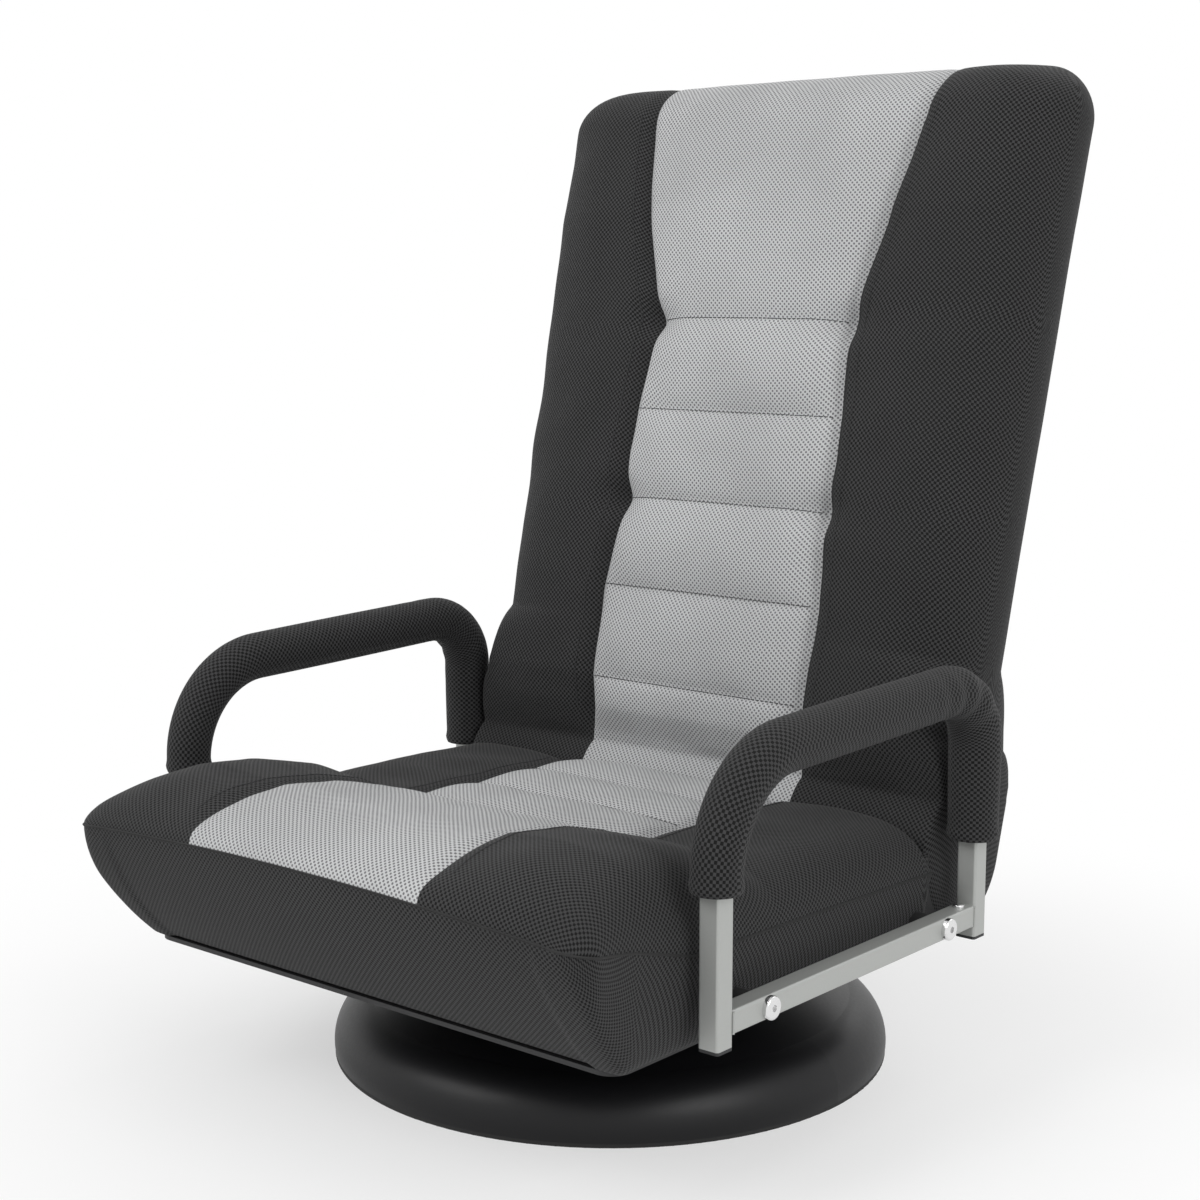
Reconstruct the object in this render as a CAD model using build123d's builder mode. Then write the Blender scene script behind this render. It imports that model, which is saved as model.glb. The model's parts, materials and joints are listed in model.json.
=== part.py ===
from build123d import *

import os
from math import cos, radians, sin, sqrt

# Floor gaming chair: a padded seat and reclining back on a round swivel base, with two looped arms.
# The chair faces -Y, +X is the sitter's left and +Z is up. The origin is on the floor, on the swivel axis.

# Swivel base
BASE_RADIUS = 200.0
BASE_HEIGHT = 62.0
BASE_WALL = 2.5
BASE_FLAT_RADIUS = 82.0
BASE_SHOULDER_RADIUS = 174.0
BASE_SHOULDER_HEIGHT = 41.0
BASE_RIM_BEND = 33.0
BASE_CROWN_BEND = 260.0
FOOT_PAD_HEIGHT = 6.0
PAD_LIP_WIDTH = 2.4
PAD_EDGE_ROUND = 0.8

# Ball bearing between base and seat
RACE_PLATE = 2.0
LOWER_RACE_SIDE = 100.0
UPPER_RACE_SIDE = 132.0
RACE_CORNER = 10.0
BALL_RADIUS = 3.0
BALL_CIRCLE_RADIUS = 36.0
BALL_COUNT = 16
BALL_CLEARANCE = 0.05
RACE_GAP = 2 * (BALL_RADIUS + BALL_CLEARANCE)
RETAINER_THICKNESS = 1.0
RETAINER_WIDTH = 12.0
RETAINER_HOLE_PLAY = 0.2
RIVET_RADIUS = 5.0
RIVET_HEAD_RADIUS = 9.0
RIVET_HEAD_HEIGHT = 1.8
RIVET_PLAY = 0.05
RIVET_HEAD_PLAY = 0.3
BASE_BOLT_PITCH = 80.0
BASE_BOLT_RADIUS = 2.5
RACE_BOLT_PITCH_X = 108.0
RACE_BOLT_PITCH_Y = 76.0
RACE_BOLT_RADIUS = 3.0
RACE_BOLT_GRIP = 8.0
RISER_HEIGHT = 22.0
RISER_RADIUS = 86.0
RISER_WIDTH = 30.0
BOLT_HEAD_RATIO = 1.8
BOLT_HEAD_HEIGHT = 2.2
BOLT_HEAD_ROUND = 0.4
BOLT_SOCKET_DEPTH = 0.6
NUT_HEIGHT = 4.0

# Seat frame
SEAT_PANEL = 3.0
SEAT_PANEL_FRONT = -246.0
SEAT_PANEL_REAR = 67.0
SEAT_PANEL_INSET = 11.0
SEAT_PANEL_CORNER = 14.0
SIDE_TUBE_WIDTH = 15.0
SIDE_TUBE_HEIGHT = 30.0
SIDE_TUBE_PADDING = 10.0
SIDE_TUBE_FRONT = -205.0
SIDE_TUBE_REAR = 66.0
CROSS_TUBE = 16.0
TUBE_WALL = 1.5

# Seat cushion, a padded block seen from the side and lofted across
SEAT_ARM_GAP = 11.0
SEAT_NOSE_Y = -298.0
SEAT_NOSE_DROP = 28.0
SEAT_NOSE_ROUND = 4.0
SEAT_UNDERCUT_Y = -250.0
SEAT_ROLL_TOP = 205.0
SEAT_ROLL_BACK_Y = -98.0
SEAT_ROLL_FRONT_SHARE = 0.32
SEAT_ROLL_FRONT_DROP = 3.0
SEAT_TOP = 187.0
SEAT_REAR_DIP = 6.0
SEAT_LIP_RISE = 2.0
SEAT_CHANNELS = 3
SEAT_CHANNEL_CROWN = 5.0
SEAT_EDGE_SHRINK = 26.0
GREY_PANEL_HALF_WIDTH = 96.0
EDGE_BAND = 20.0
EDGE_BAND_SHRINK = 5.0
EDGE_CROWN = 0.6
GREY_EDGE_CROWN_SHARE = 0.6

# Recline hinge and back cushion, measured along the back from the hinge
HINGE_Y = 128.0
HINGE_Z = 152.0
BACK_LEAN = 14.0
BACK_SIDE_INSET = 4.0
BACK_FLARE = 1.6
BACK_END_RADIUS = 53.0
BACK_TUCK_ANGLE = 40.0
BACK_FRONT_DEPTH = 60.0
BACK_REAR_DEPTH = 42.0
BACK_LENGTH = 568.0
BACK_HEAD_LINE = 366.0
BACK_FIRST_LINE = 84.0
BACK_CHANNELS = 4
BACK_CHANNEL_CROWN = 7.0
BACK_EDGE_SHRINK = 24.0
BACK_TOP_ROUND = 40.0
BACK_BROW = 4.0
BACK_LUMBAR_BULGE = 3.0
HINGE_CLEARANCE = 1.0
HINGE_POCKET_ROOM = 8.0
HINGE_POCKET_RADIUS = 58.0
HINGE_POCKET_DEPTH = 60.0
PAWL_POCKET_ROOM = 6.0
SOFT_GAP = 0.3
CUT_OVERLAP = 1.0

# Plain foam cores inside the padded covers
SEAT_CORE_TOP = 156.0
SEAT_CORE_FRONT = -256.0
SEAT_CORE_WALL = 6.0
BACK_CORE_FRONT = -42.0
BACK_CORE_REAR = 30.0
BACK_CORE_FOOT = -20.0
BACK_CORE_TOP = 532.0
CORE_CHAMFER = 14.0

# Hinge plates, ratchet and pawl
HINGE_PLATE = 3.0
HINGE_PIN_RADIUS = 6.0
HINGE_PIN_PLAY = 0.05
HINGE_PIN_HEAD = 3.0
HINGE_PIN_HEAD_RATIO = 1.7
HINGE_EYE_RADIUS = 24.0
SEAT_PLATE_LENGTH = 46.0
SEAT_PLATE_INSET = 2.0
SEAT_PLATE_NECK_Y = 16.0
SEAT_PLATE_NECK_Z = 18.0
PLATE_SLOT_LENGTH = 120.0
PLATE_SLOT_RISE = 6.0
PLATE_SLOT_ROOM = 2.0
RATCHET_TIP_RADIUS = 34.0
RATCHET_ROOT_RADIUS = 29.0
RATCHET_TEETH = 6
RATCHET_STEP = 16.0
RATCHET_START = 150.0
PAWL_CLEARANCE = 0.6
PAWL_TIP_HALF_WIDTH = 3.0
PAWL_PIN_RADIUS = 3.0
PAWL_PIN_HEAD_RATIO = 1.6
PAWL_PIN_HEAD = 1.5
PAWL_PIN_UP = 62.0
BACK_TUBE = 16.0
BACK_TUBE_START = 42.0
BACK_TUBE_TOP = 520.0
BACK_PLATE_REACH = 112.0

# Looped arms
ARM_TUBE = 15.0
ARM_TUBE_CORNER = 2.0
ARM_BORE_CORNER = 0.8
ARM_OUTSIDE = 247.0
ARM_FRONT_Y = -197.0
ARM_REAR_Y = 108.5
ARM_FOOT_Z = 105.0
ARM_FRONT_TOP = 273.0
ARM_REAR_TOP = 281.0
ARM_FRONT_BEND = 68.0
ARM_REAR_BEND = 42.0
ARM_RAIL_RISE = 7.0
ARM_SLEEVE_RADIUS = 16.5
ARM_SLEEVE_FRONT_Z = 199.0
ARM_SLEEVE_REAR_Z = 173.0
ARM_BOLT_RADIUS = 4.0
ARM_BOLT_HEAD_RADIUS = 7.5
ARM_BOLT_HEAD_HEIGHT = 4.0
ARM_BOLT_SOCKET_RADIUS = 2.4
ARM_BOLT_INSET = 36.0
ARM_BOLT_GRIP = 6.0
SPACER_RADIUS = 7.0
SPACER_SLOT_LENGTH = 60.0
END_CAP = 2.0
RAIL_SCREW_RADIUS = 2.0
RAIL_SCREW_INSET = 9.0

# Cover zip under the front edge
ZIP_LENGTH = 300.0
ZIP_WIDTH = 14.0
ZIP_THICKNESS = 1.6
ZIP_TEETH_HEIGHT = 0.8

# Derived widths, from the arms inwards
SEAT_HALF_WIDTH = ARM_OUTSIDE - ARM_TUBE - SEAT_ARM_GAP
SEAT_PANEL_HALF_WIDTH = SEAT_HALF_WIDTH - SEAT_PANEL_INSET
BACK_HALF_WIDTH = SEAT_HALF_WIDTH - BACK_SIDE_INSET
SIDE_TUBE_OUTSIDE = SEAT_HALF_WIDTH - SIDE_TUBE_PADDING
SIDE_TUBE_INSIDE = SIDE_TUBE_OUTSIDE - SIDE_TUBE_WIDTH
SIDE_TUBE_X = SIDE_TUBE_INSIDE + SIDE_TUBE_WIDTH / 2
HINGE_POCKET_INSIDE = SIDE_TUBE_INSIDE - HINGE_POCKET_ROOM
ARM_BORE = ARM_TUBE - 2 * TUBE_WALL
ARM_AXIS_X = ARM_OUTSIDE - ARM_TUBE / 2
SEAT_PLATE_X = SIDE_TUBE_OUTSIDE
BACK_PLATE_X = SEAT_PLATE_X - SOFT_GAP - HINGE_PLATE
BACK_TUBE_X = BACK_PLATE_X - BACK_TUBE / 2

# Derived heights, from the floor up
DOME_FOOT_Z = FOOT_PAD_HEIGHT / 2
LOWER_RACE_Z = BASE_HEIGHT
BALL_Z = LOWER_RACE_Z + RACE_PLATE + RACE_GAP / 2
UPPER_RACE_Z = LOWER_RACE_Z + RACE_PLATE + RACE_GAP
PANEL_Z = UPPER_RACE_Z + RACE_PLATE + RISER_HEIGHT
FRAME_Z = PANEL_Z + SEAT_PANEL
SEAT_BOTTOM = FRAME_Z + SOFT_GAP
RAIL_Z = ARM_FOOT_Z + ARM_RAIL_RISE
ARM_BOLT_Z = RAIL_Z + ARM_TUBE / 2

# Derived places along the chair
ARM_FRONT_AXIS_Y = ARM_FRONT_Y + ARM_TUBE / 2
ARM_REAR_AXIS_Y = ARM_REAR_Y - ARM_TUBE / 2
ARM_BOLT_YS = (ARM_FRONT_Y + ARM_TUBE + ARM_BOLT_INSET, ARM_REAR_Y - ARM_TUBE - ARM_BOLT_INSET)
SEAT_REAR_Y = HINGE_Y - BACK_END_RADIUS - HINGE_CLEARANCE
BACK_TOP_TUBE_UP = BACK_TUBE_TOP - BACK_TUBE / 2
BACK_CROSS_UPS = (BACK_FIRST_LINE, 0.5 * (BACK_FIRST_LINE + BACK_TUBE_TOP))
HINGE = Location((0, HINGE_Y, HINGE_Z), (-BACK_LEAN, 0, 0))
SIDES = (("left", 1), ("right", -1))


def save(part, name):
    """Labels one finished piece and writes it under its own name."""
    part.label = name
    export_step(part, f"parts/{name}.step")


def on_back(part):
    """Leans a piece that was modelled upright on the hinge axis, and sets it on the hinge."""
    return part.moved(HINGE)


def square_tube(plane, width, height, length, wall=TUBE_WALL):
    """A rectangular tube, extruded both ways from the plane."""
    with BuildPart() as tube:
        with BuildSketch(plane):
            Rectangle(width, height)
            Rectangle(width - 2 * wall, height - 2 * wall, mode=Mode.SUBTRACT)
        extrude(amount=length / 2, both=True)
    return tube.part


def bolt(radius, length, head_radius, head_height, socket_radius=0.0):
    """A round-headed bolt along +Z, its head's underside at the origin and its head below."""
    with BuildPart() as piece:
        with Locations((0, 0, -head_height)):
            Cylinder(head_radius, head_height, align=(Align.CENTER, Align.CENTER, Align.MIN))
        fillet(piece.edges().sort_by(Axis.Z)[0], head_height * BOLT_HEAD_ROUND)
        Cylinder(radius, length, align=(Align.CENTER, Align.CENTER, Align.MIN))
        if socket_radius:
            with BuildSketch(Plane.XY.offset(-head_height)):
                RegularPolygon(socket_radius, 6)
            extrude(amount=head_height * BOLT_SOCKET_DEPTH, mode=Mode.SUBTRACT)
    return piece.part


def seat_section(x, shrink, crown):
    """One side view of the seat cushion at x: shrink rounds it off towards the sides."""
    top = SEAT_TOP - shrink
    nose_y = SEAT_NOSE_Y + 1.3 * shrink
    roll_top = SEAT_ROLL_TOP - shrink
    nose_z = SEAT_ROLL_TOP - SEAT_NOSE_DROP - 0.2 * shrink
    hug = BACK_END_RADIUS + HINGE_CLEARANCE
    lip_rise = max(top - SEAT_REAR_DIP - HINGE_Z, SEAT_LIP_RISE)
    lip_y = HINGE_Y - sqrt(hug**2 - lip_rise**2)
    hug_middle = (HINGE_Y - sqrt(hug**2 - (0.5 * lip_rise) ** 2), HINGE_Z + 0.5 * lip_rise)
    step = (lip_y - SEAT_ROLL_BACK_Y) / SEAT_CHANNELS
    sewn = [(lip_y, HINGE_Z + lip_rise)]
    sewn += [(lip_y - step * i, top) for i in range(1, SEAT_CHANNELS + 1)]
    roll_front_y = nose_y + SEAT_ROLL_FRONT_SHARE * (SEAT_ROLL_BACK_Y - nose_y)
    roll_front = (roll_front_y, roll_top - SEAT_ROLL_FRONT_DROP)
    nose_middle_y = nose_y + 0.09 * (roll_front_y - nose_y) + SEAT_NOSE_ROUND
    with BuildSketch(Plane.YZ.offset(x)) as section:
        with BuildLine():
            Line((SEAT_UNDERCUT_Y, SEAT_BOTTOM), (SEAT_REAR_Y, SEAT_BOTTOM))
            Line((SEAT_REAR_Y, SEAT_BOTTOM), (SEAT_REAR_Y, HINGE_Z))
            ThreePointArc((SEAT_REAR_Y, HINGE_Z), hug_middle, sewn[0])
            for rear, front in zip(sewn, sewn[1:]):
                middle = (0.5 * (rear[0] + front[0]), 0.5 * (rear[1] + front[1]) + crown)
                ThreePointArc(rear, middle, front)
            ThreePointArc(sewn[-1], (0.5 * (SEAT_ROLL_BACK_Y + roll_front_y), roll_top), roll_front)
            nose_middle = (nose_middle_y, 0.45 * nose_z + 0.55 * roll_top)
            ThreePointArc(roll_front, nose_middle, (nose_y, nose_z))
            Line((nose_y, nose_z), (SEAT_UNDERCUT_Y, SEAT_BOTTOM))
        make_face()
    return section.sketch


def back_section(x, shrink, crown):
    """One side view of the back cushion at x, upright on the hinge axis: -Y is its front."""
    front = -(BACK_FRONT_DEPTH - 0.7 * shrink)
    rear = BACK_REAR_DEPTH - 0.5 * shrink
    end = BACK_END_RADIUS
    slant = end * cos(radians(45))
    top = BACK_LENGTH - 1.2 * shrink
    round_z = top - BACK_TOP_ROUND
    mid_y = 0.5 * (front + rear)
    step = (BACK_HEAD_LINE - BACK_FIRST_LINE) / BACK_CHANNELS
    sewn = [BACK_FIRST_LINE + i * step for i in range(BACK_CHANNELS + 1)]
    brow = (front + BACK_BROW, round_z)
    flare = radians(BACK_FLARE * x / BACK_HALF_WIDTH)
    plane = Plane((x, 0, 0), x_dir=(0, 1, 0), z_dir=(cos(flare), 0, -sin(flare)))
    tuck = (-end * cos(radians(BACK_TUCK_ANGLE)), end * sin(radians(BACK_TUCK_ANGLE)))
    turn = radians(0.5 * (90.0 - BACK_TUCK_ANGLE))
    lumbar = (0.5 * (tuck[0] + front) - BACK_LUMBAR_BULGE, 0.5 * (tuck[1] + sewn[0]))
    crest = (0.55 * front + 0.45 * mid_y, top - 0.16 * BACK_TOP_ROUND)
    nape = (0.8 * rear + 0.2 * mid_y, top - 0.22 * BACK_TOP_ROUND)
    with BuildSketch(plane) as section:
        with BuildLine():
            ThreePointArc((end, 0.0), (slant, -slant), (0.0, -end))
            ThreePointArc((0.0, -end), (-end * cos(turn), -end * sin(turn)), tuck)
            ThreePointArc(tuck, lumbar, (front, sewn[0]))
            for low, high in zip(sewn, sewn[1:]):
                ThreePointArc((front, low), (front - crown, 0.5 * (low + high)), (front, high))
            ThreePointArc((front, sewn[-1]), (front - 0.8 * crown, 0.5 * (sewn[-1] + round_z)), brow)
            ThreePointArc(brow, crest, (mid_y, top))
            ThreePointArc((mid_y, top), nape, (rear, round_z))
            Line((rear, round_z), (end, 0.0))
        make_face()
    return section.sketch


def cushion(section, half_width, edge_shrink, channel_crown):
    """A soft block lofted across the chair, drawn in at both sides and crowned in the middle."""
    outer = (
        (half_width, edge_shrink, EDGE_CROWN),
        (half_width - EDGE_BAND, EDGE_BAND_SHRINK, EDGE_CROWN),
    )
    inner = ((GREY_PANEL_HALF_WIDTH, 0.0, GREY_EDGE_CROWN_SHARE * channel_crown),)
    stations = [(-x, shrink, crown) for x, shrink, crown in outer + inner]
    stations.append((0.0, 0.0, channel_crown))
    stations.extend(reversed(outer + inner))
    with BuildPart() as block:
        for x, shrink, crown in stations:
            add(section(x, shrink, crown))
        loft()
    return block.part


def seat_core(gap):
    """The plain foam block in the seat cushion, drawn in by gap."""
    with BuildPart() as core:
        with BuildSketch(Plane.YZ):
            with BuildLine():
                Polyline(
                    (SEAT_UNDERCUT_Y + 3 * SEAT_CORE_WALL + gap, SEAT_BOTTOM),
                    (SEAT_REAR_Y - SEAT_CORE_WALL - gap, SEAT_BOTTOM),
                    (SEAT_REAR_Y - SEAT_CORE_WALL - gap, SEAT_CORE_TOP - gap),
                    (SEAT_CORE_FRONT + CORE_CHAMFER + gap, SEAT_CORE_TOP - gap),
                    (SEAT_CORE_FRONT + 1.5 * gap, SEAT_CORE_TOP - 0.7 * CORE_CHAMFER),
                    close=True,
                )
            make_face()
        extrude(amount=SIDE_TUBE_OUTSIDE + 2 * SOFT_GAP - gap, both=True)
    return core.part


def back_core(gap):
    """The plain foam block in the back cushion, upright on the hinge axis, drawn in by gap."""
    with BuildPart() as core:
        with BuildSketch(Plane.YZ):
            with BuildLine():
                Polyline(
                    (BACK_CORE_FRONT + gap, BACK_CORE_FOOT + gap),
                    (BACK_CORE_REAR - gap, BACK_CORE_FOOT + gap),
                    (BACK_CORE_REAR - gap, BACK_CORE_TOP - 2 * CORE_CHAMFER - gap),
                    (BACK_CORE_REAR - CORE_CHAMFER - gap, BACK_CORE_TOP - gap),
                    (BACK_CORE_FRONT + CORE_CHAMFER + gap, BACK_CORE_TOP - gap),
                    (BACK_CORE_FRONT + gap, BACK_CORE_TOP - 2 * CORE_CHAMFER - gap),
                    close=True,
                )
            make_face()
        extrude(amount=BACK_PLATE_X + HINGE_PLATE + 2 * SOFT_GAP - gap, both=True)
    return core.part


os.makedirs("parts", exist_ok=True)

# Base shell: a pressed dome with an open underside
shoulder = (BASE_SHOULDER_RADIUS, BASE_SHOULDER_HEIGHT)
inner_shoulder = (BASE_SHOULDER_RADIUS - BASE_WALL * 0.3, BASE_SHOULDER_HEIGHT - BASE_WALL)
flat_rim = (BASE_FLAT_RADIUS, BASE_HEIGHT)
inner_flat_rim = (BASE_FLAT_RADIUS, BASE_HEIGHT - BASE_WALL)
with BuildPart() as base_shell:
    with BuildSketch(Plane.XZ):
        with BuildLine():
            Line((0, BASE_HEIGHT), flat_rim)
            RadiusArc(flat_rim, shoulder, BASE_CROWN_BEND)
            RadiusArc(shoulder, (BASE_RADIUS, DOME_FOOT_Z), BASE_RIM_BEND)
            Line((BASE_RADIUS, DOME_FOOT_Z), (BASE_RADIUS - BASE_WALL, DOME_FOOT_Z))
            RadiusArc((BASE_RADIUS - BASE_WALL, DOME_FOOT_Z), inner_shoulder, -BASE_RIM_BEND + BASE_WALL)
            RadiusArc(inner_shoulder, inner_flat_rim, -BASE_CROWN_BEND + BASE_WALL)
            Line(inner_flat_rim, (0, BASE_HEIGHT - BASE_WALL))
            Line((0, BASE_HEIGHT - BASE_WALL), (0, BASE_HEIGHT))
        make_face()
    revolve(axis=Axis.Z)
    with Locations((0, 0, BASE_HEIGHT)):
        Hole(RIVET_RADIUS, depth=2 * BASE_WALL)
        with GridLocations(BASE_BOLT_PITCH, BASE_BOLT_PITCH, 2, 2):
            Hole(BASE_BOLT_RADIUS, depth=2 * BASE_WALL)
save(base_shell.part, "base_shell")

# Floor pad: a soft disc that closes the dome's underside and meets the floor
with BuildPart() as floor_pad:
    with BuildSketch(Plane.XZ):
        with Locations((BASE_RADIUS / 2, DOME_FOOT_Z / 2)):
            Rectangle(BASE_RADIUS, DOME_FOOT_Z)
        with Locations((BASE_RADIUS - BASE_WALL - PAD_LIP_WIDTH, FOOT_PAD_HEIGHT / 2)):
            Rectangle(PAD_LIP_WIDTH, FOOT_PAD_HEIGHT)
    revolve(axis=Axis.Z)
    fillet(floor_pad.edges().group_by(Axis.Z)[0], PAD_EDGE_ROUND)
save(floor_pad.part, "floor_pad")

# Lower race: fixed to the dome
with BuildPart() as lower_race:
    with BuildSketch(Plane.XY.offset(LOWER_RACE_Z)):
        RectangleRounded(LOWER_RACE_SIDE, LOWER_RACE_SIDE, RACE_CORNER)
        Circle(RIVET_RADIUS, mode=Mode.SUBTRACT)
        with GridLocations(BASE_BOLT_PITCH, BASE_BOLT_PITCH, 2, 2):
            Circle(BASE_BOLT_RADIUS, mode=Mode.SUBTRACT)
    extrude(amount=RACE_PLATE)
save(lower_race.part, "lower_race")

# Upper race: turns with the seat
with BuildPart() as upper_race:
    with BuildSketch(Plane.XY.offset(UPPER_RACE_Z)):
        RectangleRounded(UPPER_RACE_SIDE, UPPER_RACE_SIDE, RACE_CORNER)
        Circle(RIVET_RADIUS + RIVET_PLAY, mode=Mode.SUBTRACT)
        with GridLocations(RACE_BOLT_PITCH_X, RACE_BOLT_PITCH_Y, 2, 2):
            Circle(RACE_BOLT_RADIUS, mode=Mode.SUBTRACT)
    extrude(amount=RACE_PLATE)
save(upper_race.part, "upper_race")

# Bearing balls and the retainer that spaces them
with BuildPart() as balls:
    with Locations((0, 0, BALL_Z)):
        with PolarLocations(BALL_CIRCLE_RADIUS, BALL_COUNT):
            Sphere(BALL_RADIUS)
save(balls.part, "race_balls")

with BuildPart() as retainer:
    with BuildSketch(Plane.XY.offset(BALL_Z - RETAINER_THICKNESS / 2)):
        Circle(BALL_CIRCLE_RADIUS + RETAINER_WIDTH / 2)
        Circle(BALL_CIRCLE_RADIUS - RETAINER_WIDTH / 2, mode=Mode.SUBTRACT)
        with PolarLocations(BALL_CIRCLE_RADIUS, BALL_COUNT):
            Circle(BALL_RADIUS + RETAINER_HOLE_PLAY, mode=Mode.SUBTRACT)
    extrude(amount=RETAINER_THICKNESS)
save(retainer.part, "ball_retainer")

# Swivel rivet: holds the two races together on the swivel axis
rivet_low = BASE_HEIGHT - BASE_WALL - RIVET_HEAD_HEIGHT
rivet_high = UPPER_RACE_Z + RACE_PLATE + RIVET_HEAD_PLAY
with BuildPart() as rivet:
    with Locations((0, 0, rivet_low)):
        Cylinder(RIVET_HEAD_RADIUS, RIVET_HEAD_HEIGHT, align=(Align.CENTER, Align.CENTER, Align.MIN))
        Cylinder(RIVET_RADIUS, rivet_high - rivet_low, align=(Align.CENTER, Align.CENTER, Align.MIN))
    with Locations((0, 0, rivet_high)):
        Cylinder(RIVET_HEAD_RADIUS, RIVET_HEAD_HEIGHT, align=(Align.CENTER, Align.CENTER, Align.MIN))
save(rivet.part, "swivel_rivet")

# Bolts and nuts of the lower race
base_bolt = Rot(180, 0, 0) * bolt(
    BASE_BOLT_RADIUS,
    RACE_PLATE + BASE_WALL + NUT_HEIGHT,
    BASE_BOLT_RADIUS * BOLT_HEAD_RATIO,
    BOLT_HEAD_HEIGHT,
)
with BuildPart() as base_nut:
    with BuildSketch(Plane.XY.offset(-RACE_PLATE - BASE_WALL)):
        RegularPolygon(BASE_BOLT_RADIUS * BOLT_HEAD_RATIO, 6)
    extrude(amount=-NUT_HEIGHT)
with BuildPart() as base_bolts:
    with Locations((0, 0, LOWER_RACE_Z + RACE_PLATE)):
        with GridLocations(BASE_BOLT_PITCH, BASE_BOLT_PITCH, 2, 2):
            add(base_bolt)
            add(base_nut.part)
save(base_bolts.part, "base_bolts")

# Bolts of the upper race, up through the panel into the cross tubes
race_bolt = bolt(
    RACE_BOLT_RADIUS,
    RACE_PLATE + RISER_HEIGHT + SEAT_PANEL + RACE_BOLT_GRIP,
    RACE_BOLT_RADIUS * BOLT_HEAD_RATIO,
    BOLT_HEAD_HEIGHT,
)
with BuildPart() as race_bolts:
    with Locations((0, 0, UPPER_RACE_Z)):
        with GridLocations(RACE_BOLT_PITCH_X, RACE_BOLT_PITCH_Y, 2, 2):
            add(race_bolt)
save(race_bolts.part, "race_bolts")

# Riser: a ring that lifts the seat clear of the dome
with BuildPart() as riser:
    with BuildSketch(Plane.XY.offset(UPPER_RACE_Z + RACE_PLATE)):
        Circle(RISER_RADIUS)
        Circle(RISER_RADIUS - RISER_WIDTH, mode=Mode.SUBTRACT)
        with GridLocations(RACE_BOLT_PITCH_X, RACE_BOLT_PITCH_Y, 2, 2):
            Circle(RACE_BOLT_RADIUS, mode=Mode.SUBTRACT)
    extrude(amount=RISER_HEIGHT)
save(riser.part, "seat_riser")

# Bottom panel: the flat board that closes the seat's underside
with BuildPart() as bottom_panel:
    with BuildSketch(Plane.XY.offset(PANEL_Z)):
        with Locations((0, 0.5 * (SEAT_PANEL_FRONT + SEAT_PANEL_REAR))):
            panel_length = SEAT_PANEL_REAR - SEAT_PANEL_FRONT
            RectangleRounded(2 * SEAT_PANEL_HALF_WIDTH, panel_length, SEAT_PANEL_CORNER)
        with GridLocations(RACE_BOLT_PITCH_X, RACE_BOLT_PITCH_Y, 2, 2):
            Circle(RACE_BOLT_RADIUS, mode=Mode.SUBTRACT)
    extrude(amount=SEAT_PANEL)
save(bottom_panel.part, "seat_bottom_panel")

# Seat frame: two side tubes, four tubes across
side_length = SIDE_TUBE_REAR - SIDE_TUBE_FRONT
side_middle = 0.5 * (SIDE_TUBE_REAR + SIDE_TUBE_FRONT)
for side, sign in SIDES:
    tube_middle = (sign * SIDE_TUBE_X, side_middle, FRAME_Z + SIDE_TUBE_HEIGHT / 2)
    tube_plane = Plane(tube_middle, x_dir=(1, 0, 0), z_dir=(0, -1, 0))
    with BuildPart() as side_tube:
        add(square_tube(tube_plane, SIDE_TUBE_WIDTH, SIDE_TUBE_HEIGHT, side_length))
        for y in ARM_BOLT_YS:
            with Locations(Location((sign * SIDE_TUBE_OUTSIDE, y, ARM_BOLT_Z), (0, 90 * sign, 0))):
                Hole(ARM_BOLT_RADIUS, depth=2 * TUBE_WALL)
    save(side_tube.part, f"seat_side_tube_{side}")


def cross_tube(y):
    """A tube across the seat at y, between the side tubes."""
    plane = Plane((0, y, FRAME_Z + CROSS_TUBE / 2), x_dir=(0, 1, 0), z_dir=(1, 0, 0))
    return square_tube(plane, CROSS_TUBE, CROSS_TUBE, 2 * SIDE_TUBE_INSIDE)


save(cross_tube(SIDE_TUBE_FRONT + CROSS_TUBE / 2), "seat_front_tube")
save(cross_tube(SIDE_TUBE_REAR - CROSS_TUBE / 2), "seat_rear_tube")
with BuildPart() as cross_tubes:
    for y in (-RACE_BOLT_PITCH_Y / 2, RACE_BOLT_PITCH_Y / 2):
        add(cross_tube(y))
    with Locations((0, 0, FRAME_Z)):
        with GridLocations(RACE_BOLT_PITCH_X, RACE_BOLT_PITCH_Y, 2, 2):
            Hole(RACE_BOLT_RADIUS, depth=2 * TUBE_WALL)
save(cross_tubes.part, "seat_cross_tubes")

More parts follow.
